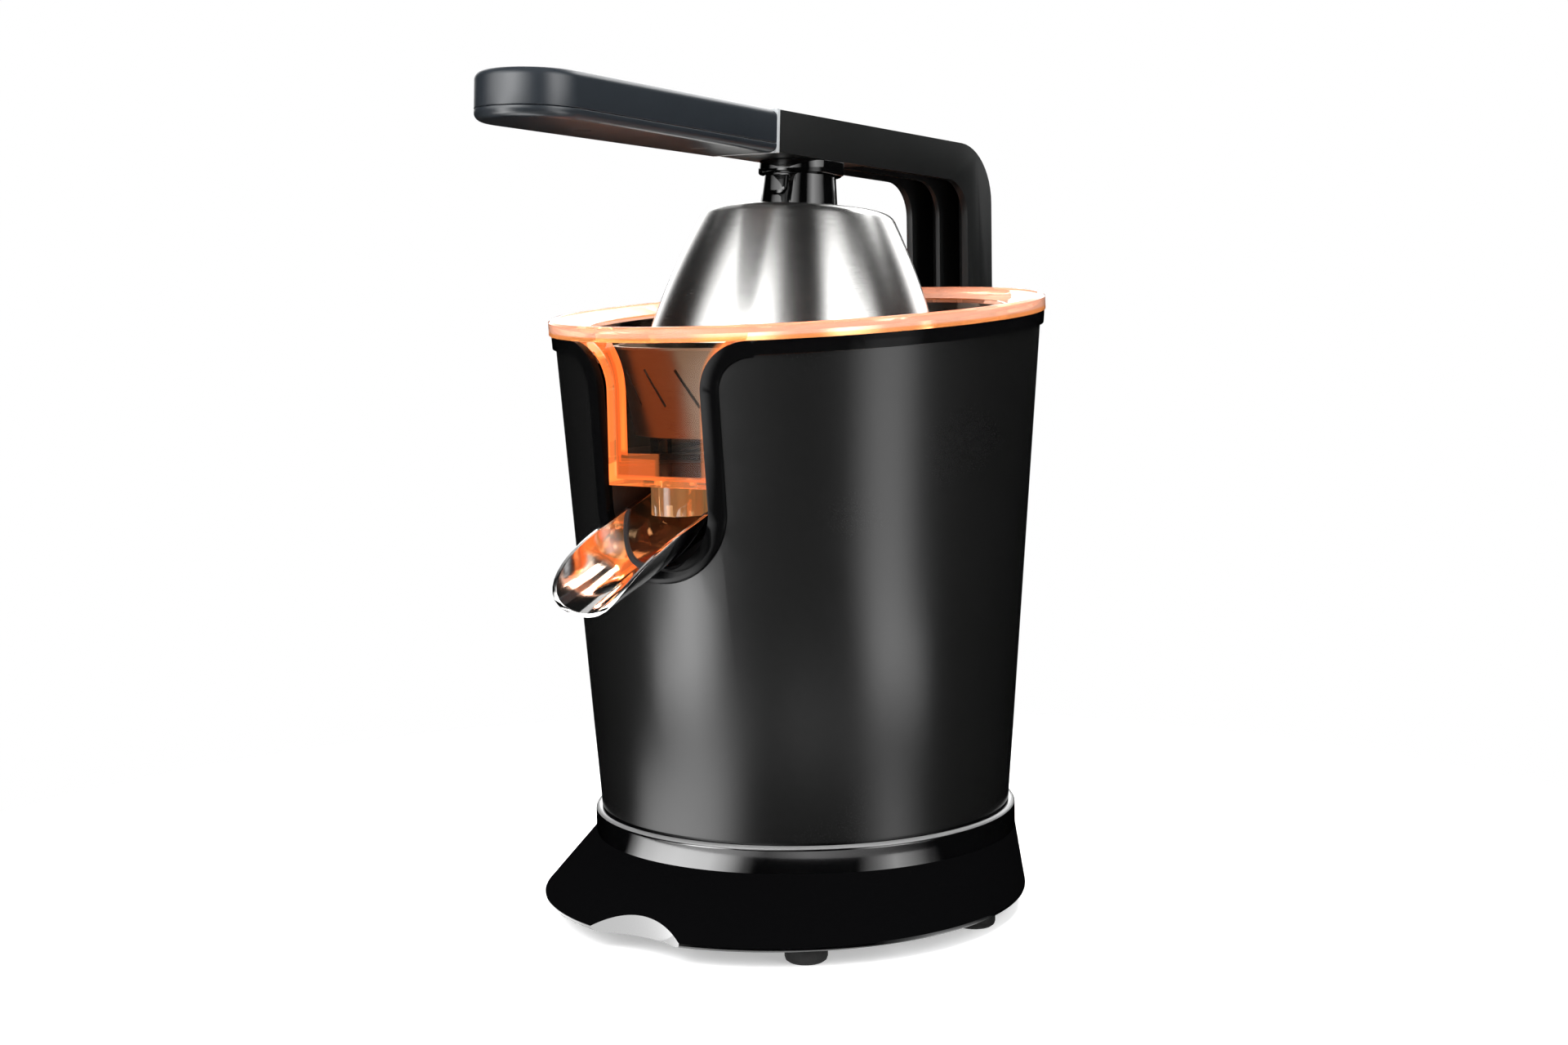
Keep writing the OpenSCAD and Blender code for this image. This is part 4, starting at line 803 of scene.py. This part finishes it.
class Base(Assembly):
    """Feet, plate, skirt and cord inlet."""

    sizes = BaseSizes()
    sides = 192
    hollow_sides = 128
    # Upward parts of a face's normal: the most for a wall, and the span for the collar's rim, which gets a painted
    # highlight
    wall_facing = 0.1
    rim_facing: Span = (0.35, 0.98)

    def slope_ring(self, z: float, inset: float) -> Ring:
        """Gives a ring of the sloping part of the skirt.

        Args:
            z: height of the ring.
            inset: distance inside the outer surface.

        Returns:
            The ring, on the line between the foot's centre and the body's.
        """
        s = self.sizes
        low = s.low + s.lower_round
        share = (z - low) / (s.slope_top - low)
        return Ring(s.radius + (s.collar_radius - s.radius) * share - inset, z, AXIS_Y - s.offset * (1 - share))

    def outer_rings(self) -> list[Ring]:
        """Gives the skirt's outer rings, from its lower edge to its collar."""
        s = self.sizes
        stack = []
        for step in range(6):
            turn = math.pi / 2 * step / 6
            radius = s.radius - s.lower_round * (1 - math.sin(turn))
            stack.append(Ring(radius, s.low + s.lower_round * (1 - math.cos(turn)), AXIS_Y - s.offset))
        low = s.low + s.lower_round
        stack += [self.slope_ring(low + (s.slope_top - low) * step / 12, 0.0) for step in range(13)]
        for step in range(9):
            turn = math.pi / 2 * step / 8
            radius = s.collar_radius - s.collar_round * (1 - math.cos(turn))
            stack.append(Ring(radius, s.collar_top - s.collar_round * (1 - math.sin(turn))))
        stack.append(Ring(s.ledge_radius, s.collar_top))
        return stack

    def inner_rings(self) -> list[Ring]:
        """Gives the rings of the skirt's hollow."""
        s = self.sizes
        middle = AXIS_Y - s.offset
        return [
            Ring(s.plate_radius, s.low - s.hollow_past, middle),
            Ring(s.plate_radius, s.plate_top, middle),
            self.slope_ring(s.plate_top + s.wall, s.wall),
            self.slope_ring(s.slope_top - s.wall, s.wall),
            Ring(s.ledge_radius, s.slope_top - s.wall + s.hollow_step),
            Ring(s.ledge_radius, s.collar_top + s.hollow_past),
        ]

    def recess_tool(self, grow: float) -> Piece:
        """Makes the round cutter of the hollow for a glass.

        Args:
            grow: amount added to its radius.

        Returns:
            The cutter.
        """
        s = self.sizes
        depth = s.recess_radius - math.sqrt(s.recess_radius**2 - s.recess_half**2)
        edge = s.offset + math.sqrt(s.radius**2 - s.recess_half**2)
        middle = AXIS_Y - (edge - depth + s.recess_radius)
        stack = [Ring(s.recess_radius + grow, z, middle) for z in (0.0, s.recess_height)]
        return Workshop.rings("recess_tool", stack, self.sides, True)

    def on_slope(self, face: Face) -> bool:
        """Says whether a face of the skirt belongs to its slope."""
        return face.center.z < self.sizes.slope_top and face.normal.z > self.wall_facing

    def on_wall(self, face: Face) -> bool:
        """Says whether a face of the skirt stands upright."""
        return abs(face.normal.z) < self.wall_facing

    def on_rim(self, face: Face) -> bool:
        """Says whether a face of the skirt belongs to the rounded rim of its collar, where a highlight is painted."""
        low, high = self.rim_facing
        return face.center.z > self.sizes.collar_top - self.sizes.collar_round and low < face.normal.z < high

    def build(self) -> None:
        """Builds the skirt and dresses the base."""
        skirt = Workshop.rings("base_skirt_form", self.outer_rings(), self.sides, True)
        hollow = Workshop.rings("skirt_hollow", self.inner_rings(), self.hollow_sides, True)
        Workshop.cut(hollow, self.recess_tool(self.sizes.wall))
        Workshop.cut(skirt, self.recess_tool(0.0))
        Workshop.cut(skirt, hollow)
        Workshop.smooth(skirt, 28.0)
        self.stand_in(skirt, "base_skirt", GLOSS_BLACK)
        Workshop.coat(skirt, SLOPE_BLACK, self.on_slope)
        Workshop.coat(skirt, WALL_BLACK, self.on_wall)
        # Painted highlight on the collar's rounded rim
        Workshop.coat(skirt, RIM_HIGHLIGHT_GREY, self.on_rim)
        self.dress(RUBBER, "cord_inlet_bush", "rubber_feet")
        self.dress(INNER_BLACK, "base_plate")
        self.dress(TURNED_STEEL, "base_screws")


class Body(Assembly):
    """Body shell, its trim, the housing inside it and the hinge bracket."""

    def build(self) -> None:
        """Dresses the body."""
        self.refined("body_shell", SATIN_BLACK)
        self.refined("body_trim", TRIM_BLACK, bevel=0.0007)
        self.refined("inner_housing", INNER_BLACK)
        self.refined("hinge_bracket", ARM_BLACK, bevel=0.0006)
        self.dress(TURNED_STEEL, "hinge_pin", "hinge_clips", "bracket_screws")


class Bowl(Assembly):
    """Clear bowl, strainer and the seal under them."""

    flange_radius = 0.0805
    flange_low = 0.2315
    nozzle_top = 0.1728

    def on_flange(self, face: Face) -> bool:
        """Says whether a face of the bowl belongs to its flange."""
        spot = face.center
        back = spot.y - AXIS_Y
        return spot.z > self.flange_low + RIM_SLOPE * back and math.hypot(spot.x, back) > self.flange_radius

    def on_nozzle(self, face: Face) -> bool:
        """Says whether a face of the bowl belongs to its nozzle."""
        return face.center.z < self.nozzle_top

    def build(self) -> None:
        """Dresses the bowl."""
        # The window's borders, the flange and the nozzle carry painted glow
        bowl = self.refined("juice_bowl", CLEAR_ORANGE, bevel=0.0004)
        Workshop.coat(bowl, FLANGE_ORANGE, self.on_flange)
        Workshop.coat(bowl, NOZZLE_AMBER, self.on_nozzle)
        self.refined("strainer", STRAINER_STEEL)
        self.dress(GASKET, "shaft_seal")


class Spout(Assembly):
    """Tilting spout with its black trough and steel lip."""

    def build(self) -> None:
        """Dresses the spout."""
        self.refined("spout_trough", GLOSS_BLACK, bevel=0.0004)
        self.refined("spout_lip", POLISHED_STEEL, bevel=0.0003)
        self.dress(GASKET, "spout_gasket")


@dataclass
class DomeSizes:
    """Sizes of the press dome with the arm at its lowest, in metres."""

    top: float = 0.2643
    height: float = 0.055
    radius: float = 0.0585
    top_radius: float = 0.0385
    flat_radius: float = 0.020
    hole_radius: float = 0.0019
    axis_y: float = AXIS_Y - 0.0022
    edge_round: float = 0.006
    bulge: float = 0.0016
    sheet: float = 0.0012


@dataclass
class GripSizes:
    """Sizes of the grip, in metres, level, with its origin at the seam's top."""

    length: float = 0.1374
    end_half: float = 0.0205
    seam_half: float = 0.0160
    thickness: float = 0.01675
    cover: float = 0.00375
    gap: float = 0.00015
    top_edge: float = 0.0030
    under_edge: float = 0.0028
    joint_edge: float = 0.0003
    seam_distance: float = 0.0315
    seam_z: float = 0.312782
    rise: float = math.radians(3.6)


class Arm(Assembly):
    """Lever arm with its grip, boss, neck and press dome."""

    dome = DomeSizes()
    grip = GripSizes()
    dome_sides = 160
    grip_sides = 96

    def raised(self) -> Matrix:
        """Gives the turn from the arm's lowest position to its rest position."""
        turn = Matrix.Rotation(-ARM_RAISE, 4, "X")
        return Matrix.Translation(PIN) @ turn @ Matrix.Translation(-PIN)

    def dome_rings(self) -> list[Ring]:
        """Gives the dome's outer rings, from its open end to its top."""
        d = self.dome
        low = d.top - d.height
        lean = math.atan((d.radius - d.top_radius + 4 * d.bulge) / (d.height - d.edge_round / 2))
        rise = d.height - d.edge_round * (1 - math.sin(lean))
        stack = []
        for step in range(25):
            t = step / 24
            radius = d.radius + (d.top_radius - d.radius) * t + d.bulge * 4 * t * (1 - t)
            stack.append(Ring(radius, low + rise * t, d.axis_y))
        for step in range(1, 13):
            turn = lean + (math.pi / 2 - lean) * step / 12
            radius = d.top_radius + d.edge_round * (math.cos(turn) - math.cos(lean))
            stack.append(Ring(radius, d.top - d.edge_round * (1 - math.sin(turn)), d.axis_y))
        return stack + [Ring(radius, d.top, d.axis_y) for radius in (d.flat_radius, d.hole_radius)]

    def build_dome(self) -> None:
        """Builds the steel dome as a spun sheet."""
        piece = Workshop.rings("press_dome_form", self.dome_rings(), self.dome_sides, False)
        Workshop.apply(piece, "SOLIDIFY", thickness=self.dome.sheet, offset=-1.0, use_even_offset=True)
        Workshop.place(piece, self.raised())
        Workshop.smooth(piece, 35.0)
        self.stand_in(piece, "press_dome", BRUSHED_STEEL)

    def grip_half(self, name: str, low: float, high: float, low_edge: float, high_edge: float) -> Piece:
        """Builds one half of the grip from its rounded end back to the seam.

        Args:
            name: name of the new piece.
            low: height of its underside below the arm's top, as a negative number.
            high: height of its upper side.
            low_edge: rounding of its lower rim.
            high_edge: rounding of its upper rim.

        Returns:
            The half, level, with its origin at the seam's top.
        """
        g = self.grip
        end_y = -(g.length - g.end_half)
        piece = Workshop.circle(name, Ring(g.end_half, low, end_y), self.grip_sides)
        Workshop.pick(piece, lambda p: p.y > end_y + NEAR, "VERT")
        bpy.ops.mesh.delete(type="VERT")
        for side in (-1.0, 1.0):
            Workshop.pick(piece, lambda p: abs(p.y - end_y) < NEAR and p.x * side > 0, "VERT")
            step = (side * (g.seam_half - g.end_half), -end_y - g.gap, 0.0)
            bpy.ops.mesh.extrude_region_move(TRANSFORM_OT_translate={"value": step})
        bpy.ops.mesh.select_all(action="SELECT")
        bpy.ops.mesh.edge_face_add()
        bpy.ops.mesh.extrude_region_move(TRANSFORM_OT_translate={"value": (0.0, 0.0, high - low)})
        for z, size in ((high, high_edge), (low, low_edge)):
            Workshop.pick(piece, lambda p: abs(p.z - z) < NEAR)
            bpy.ops.mesh.bevel(offset=size, offset_type="OFFSET", segments=6, affect="EDGES")
        Workshop.close()
        return piece

    def build_grip(self) -> None:
        """Builds both halves of the grip and lays them along the arm."""
        g = self.grip
        lay = Matrix.Translation((0.0, AXIS_Y - g.seam_distance, g.seam_z)) @ Matrix.Rotation(-g.rise, 4, "X")
        joint = -g.thickness + g.cover
        upper = self.grip_half("grip_upper_form", joint + g.gap, 0.0, g.joint_edge, g.top_edge)
        lower = self.grip_half("grip_lower_form", -g.thickness, joint, g.under_edge, g.joint_edge)
        for piece, node in ((upper, "grip_upper"), (lower, "grip_lower")):
            Workshop.place(piece, lay)
            Workshop.smooth(piece, 28.0)
            self.stand_in(piece, node, GRIP_BLACK)

    def build(self) -> None:
        """Builds the arm's pieces and dresses the rest."""
        self.build_dome()
        self.build_grip()
        self.refined("arm_bracket", ARM_BLACK, bevel=0.0006)
        self.refined("arm_boss", GLOSS_BLACK, bevel=0.0005)
        self.refined("dome_neck", GLOSS_BLACK, bevel=0.0004)
        self.refined("dome_release_tab", GLOSS_BLACK, bevel=0.0005)
        self.refined("grip_collar", SEAM_GREY, bevel=0.0002)
        self.dress(TURNED_STEEL, "dome_screw")
        self.dress(INNER_BLACK, "grip_screws")


class Drive(Assembly):
    """Motor, gears, switch, drive shaft and reaming cone."""

    cone_travel = 0.003

    def build_spring(self) -> None:
        """Dresses the return spring and gives it a mesh of its own; in the press, the spring shortens as the cone is
        pressed.
        """
        spring = self.refined("return_spring", TURNED_STEEL, angle=60.0)
        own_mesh(spring)

    def build(self) -> None:
        """Dresses the drive."""
        self.build_spring()
        self.refined("reaming_cone", CONE_BLACK)
        self.dress(CAST_ZINC, "motor_plate", "motor_housing")
        self.dress(NYLON, "gear_cover", "idler_gear", "output_gear")
        self.dress(TURNED_STEEL, "gearbox_screws", "idler_axle", "motor_screws", "hub_clip", "drive_shaft")
        self.dress(BRONZE, "output_bush", "motor_bushes", "motor_pinion")
        self.dress(LAMINATIONS, "motor_stator", "armature")
        self.dress(COPPER, "field_coils")
        self.dress(SWITCH_BLUE, "microswitch")
        self.dress(SWITCH_RED, "switch_plunger")
        self.dress(INNER_BLACK, "cooling_fan")


@dataclass(frozen=True)
class Lamp:
    """Soft studio lamp, placed by its direction from the press."""

    name: str
    azimuth: float
    elevation: float
    distance: float
    size: Span
    power: float

    def build(self, aim: Vector) -> None:
        """Adds the lamp, turned to the press.

        Args:
            aim: point that the lamp faces.
        """
        turn, lift = math.radians(self.azimuth), math.radians(self.elevation)
        away = Vector((math.sin(turn) * math.cos(lift), -math.cos(turn) * math.cos(lift), math.sin(lift)))
        Workshop.deselect()
        bpy.ops.object.light_add(type="AREA", location=aim + away * self.distance)
        lamp = bpy.context.object
        lamp.name = self.name
        lamp.rotation_euler = away.to_track_quat("Z", "Y").to_euler()
        lamp.data.shape = "RECTANGLE"
        lamp.data.size, lamp.data.size_y = self.size
        lamp.data.energy = self.power
        lamp.visible_glossy = False
        lamp.visible_camera = False


@dataclass(frozen=True)
class Band:
    """Band of panels round the press that shows in reflections alone.

    Its rims are given as radius and height in metres, and its brightness as pairs of
    the turn from the front in degrees and the share of the level there.
    """

    name: str
    first: Span
    last: Span
    level: float
    panels: tuple[Span, ...]

    def material(self) -> Material:
        """Makes the band's material, bright and dark by the turn round the press.

        Returns:
            The material.
        """
        made = bpy.data.materials.new(self.name)
        graph = Graph.open(made)
        x, y, _ = graph.axes()
        turn = graph.compute("ARCTAN2", x, graph.compute("MULTIPLY", y, -1.0))
        share = graph.remap(turn, (-math.pi, math.pi), soft=False)
        stops = [((degrees + 180) / 360, (bright, bright, bright)) for degrees, bright in self.panels]
        glow = graph.node("ShaderNodeEmission", {"Strength": self.level})
        graph.join(graph.gradient(share, stops), glow.inputs["Color"])
        graph.leave("ShaderNodeOutputMaterial", glow.outputs["Emission"])
        return made

    def build(self) -> None:
        """Stands the band round the press."""
        rims = [Ring(radius, z, 0.0) for radius, z in (self.first, self.last)]
        panel = Workshop.rings(self.name, rims, 96, False)
        panel.data.materials.append(self.material())
        for rays in ("camera", "diffuse", "transmission", "shadow", "volume_scatter"):
            setattr(panel, "visible_" + rays, False)


@dataclass(frozen=True)
class CameraFit:
    """Camera as fitted to the photograph: metres, directions, degrees and millimetres."""

    place: Point = (0.54599, -0.71385, 0.24878)
    ahead: Point = (-0.59737, 0.79504, -0.10522)
    right: Point = (0.79948, 0.60070, 0.0)
    roll: float = 1.06
    sensor: float = 36.0
    lens: float = 52.886

    def build(self) -> None:
        """Sets the camera where the photograph was taken from."""
        ahead = Vector(self.ahead).normalized()
        right = Vector(self.right).normalized()
        upward = right.cross(ahead)
        roll = math.radians(self.roll)
        side = math.cos(roll) * right - math.sin(roll) * upward
        top = math.sin(roll) * right + math.cos(roll) * upward
        data = bpy.data.cameras.new("photo_camera")
        data.sensor_fit = "HORIZONTAL"
        data.sensor_width = self.sensor
        data.lens = self.lens
        camera = bpy.data.objects.new("photo_camera", data)
        bpy.context.scene.collection.objects.link(camera)
        frame = Matrix((side, top, -ahead)).transposed().to_4x4()
        camera.matrix_world = Matrix.Translation(self.place) @ frame
        bpy.context.scene.camera = camera


class Studio:
    """Floor, backdrop, lamps, reflected panels and camera."""

    aim = Vector((0.0, 0.0, 0.16))
    backdrop_grey = 0.5
    floor_size = 24.0
    floor_grey = 0.82
    floor_glow = 0.4
    # Distances from the middle between which the floor turns plain white, in metres
    floor_fade: Span = (0.16, 0.42)
    lamps = (
        Lamp("right_strip", 84.0, 18.0, 1.3, (0.28, 1.3), 16.0),
        Lamp("front_left_box", -14.0, 30.0, 1.5, (0.8, 1.0), 22.0),
        Lamp("overhead", 20.0, 84.0, 1.6, (1.6, 1.6), 110.0),
        Lamp("left_fill", -80.0, 25.0, 1.6, (0.6, 1.2), 12.0),
    )
    bands = (
        Band("tent_foot", (0.252, 0.001), (0.09, 0.001), 4.7, (
            (-180, 0.0), (-61, 0.0), (-55, 0.2), (-48.5, 0.55), (-36.5, 0.85), (-26, 1.0), (-16.5, 1.0), (-7, 0.95),
            (1.5, 0.6), (10.5, 0.1), (16, 0.0), (64, 0.0), (73.5, 0.21), (81.5, 0.47), (90, 0.26), (98, 0.05),
            (104, 0.0), (180, 0.0))),
        Band("tent_near", (0.36, 0.001), (0.252, 0.001), 5.5, (
            (-180, 0.0), (-60, 0.0), (-40, 0.05), (-20, 0.33), (0, 0.3), (20, 0.08), (40, 0.2), (60, 0.12),
            (80, 0.06), (100, 0.0), (180, 0.0))),
        Band("tent_ground", (1.9, 0.001), (0.36, 0.001), 8.5, (
            (-180, 0.0), (-32, 0.0), (-24, 0.9), (-14, 0.9), (0, 0.0), (60, 0.0), (74, 0.4), (86, 0.35),
            (96, 0.0), (180, 0.0))),
        Band("tent_edge", (0.46, 0.002), (0.36, 0.002), 11.0, (
            (-180, 0.0), (-44, 0.0), (-36, 1.0), (-14, 1.0), (0, 0.0), (66, 0.0), (76, 0.6), (94, 0.6),
            (104, 0.0), (180, 0.0))),
        Band("tent_low", (1.9, 0.0), (1.9, 0.40), 9.0, (
            (-180, 0.0), (-32, 0.0), (-24, 0.9), (-14, 0.9), (0, 0.0), (60, 0.0), (74, 0.2), (86, 0.2),
            (96, 0.0), (180, 0.0))),
        Band("tent_middle", (1.9, 0.40), (1.9, 1.5), 9.0, (
            (-180, 0.4), (-130, 0.4), (-105, 0.0), (-60, 0.0), (-40, 0.35), (-20, 0.57), (0, 1.0), (20, 0.4),
            (40, 0.0), (60, 0.0), (80, 0.68), (100, 0.36), (120, 0.0), (160, 0.0), (180, 0.4))),
        Band("tent_high", (1.9, 1.5), (1.9, 2.6), 4.5, (
            (-180, 1.0), (-150, 0.3), (-100, 0.08), (-80, 0.0), (-60, 0.02), (-40, 0.45), (-20, 0.55), (0, 0.6),
            (14, 0.5), (28, 0.03), (66, 0.0), (76, 0.45), (86, 0.6), (98, 0.3), (110, 0.0), (140, 0.02),
            (160, 0.93), (180, 1.0))),
        Band("tent_roof", (1.9, 2.6), (0.01, 3.2), 0.01, ((-180, 1.0), (180, 1.0))),
    )

    def build(self) -> None:
        """Builds the whole studio."""
        self.world()
        self.floor()
        for band in self.bands:
            band.build()
        for lamp in self.lamps:
            lamp.build(self.aim)
        CameraFit().build()
        bpy.context.scene.view_settings.view_transform = "Standard"

    def seen_white(self, graph: Graph) -> Socket:
        """Says which rays see the plain white of the backdrop.

        Args:
            graph: node tree that asks.

        Returns:
            Socket that is 1 for camera, glossy and transmission rays.
        """
        path = graph.node("ShaderNodeLightPath").outputs
        glossy = graph.compute("MAXIMUM", path["Is Camera Ray"], path["Is Glossy Ray"])
        return graph.compute("MAXIMUM", glossy, path["Is Transmission Ray"])

    def world(self) -> None:
        """Makes a world that is white to look at and soft as a light."""
        world = bpy.data.worlds.new("studio")
        bpy.context.scene.world = world
        graph = Graph.open(world)
        soft, white = (
            graph.node("ShaderNodeBackground", {"Color": (grey, grey, grey, 1.0)}).outputs["Background"]
            for grey in (self.backdrop_grey, 1.0)
        )
        graph.leave("ShaderNodeOutputWorld", graph.mix_shaders(self.seen_white(graph), soft, white))

    def floor(self) -> None:
        """Makes the pale floor, which keeps the press's shadow and is plain white further out."""
        Workshop.deselect()
        bpy.ops.mesh.primitive_plane_add(size=self.floor_size, location=(0.0, 0.0, 0.0))
        floor = bpy.context.object
        floor.name = "floor"
        made = bpy.data.materials.new("pale_floor")
        graph = Graph.open(made)
        pale = (self.floor_grey, self.floor_grey, self.floor_grey, 1.0)
        matt = graph.node("ShaderNodeBsdfDiffuse", {"Color": pale}).outputs["BSDF"]
        lit = graph.node("ShaderNodeEmission", {"Strength": self.floor_glow}).outputs["Emission"]
        near = graph.node("ShaderNodeAddShader")
        graph.join(matt, near.inputs[0])
        graph.join(lit, near.inputs[1])
        white = graph.node("ShaderNodeEmission").outputs["Emission"]
        fade = graph.remap(graph.length(graph.place()), self.floor_fade)
        seen = graph.mix_shaders(fade, near.outputs["Shader"], white)
        graph.leave("ShaderNodeOutputMaterial", graph.mix_shaders(self.seen_white(graph), matt, seen))
        floor.data.materials.append(made)


def main() -> None:
    """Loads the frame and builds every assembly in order."""
    logging.basicConfig(level=logging.INFO, format="%(message)s")
    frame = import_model()
    Studio().build()
    for assembly in (Base, Body, Bowl, Spout, Arm, Drive):
        assembly(frame["nodes"]).build()
    Workshop.deselect()


if __name__ == "__main__":
    main()
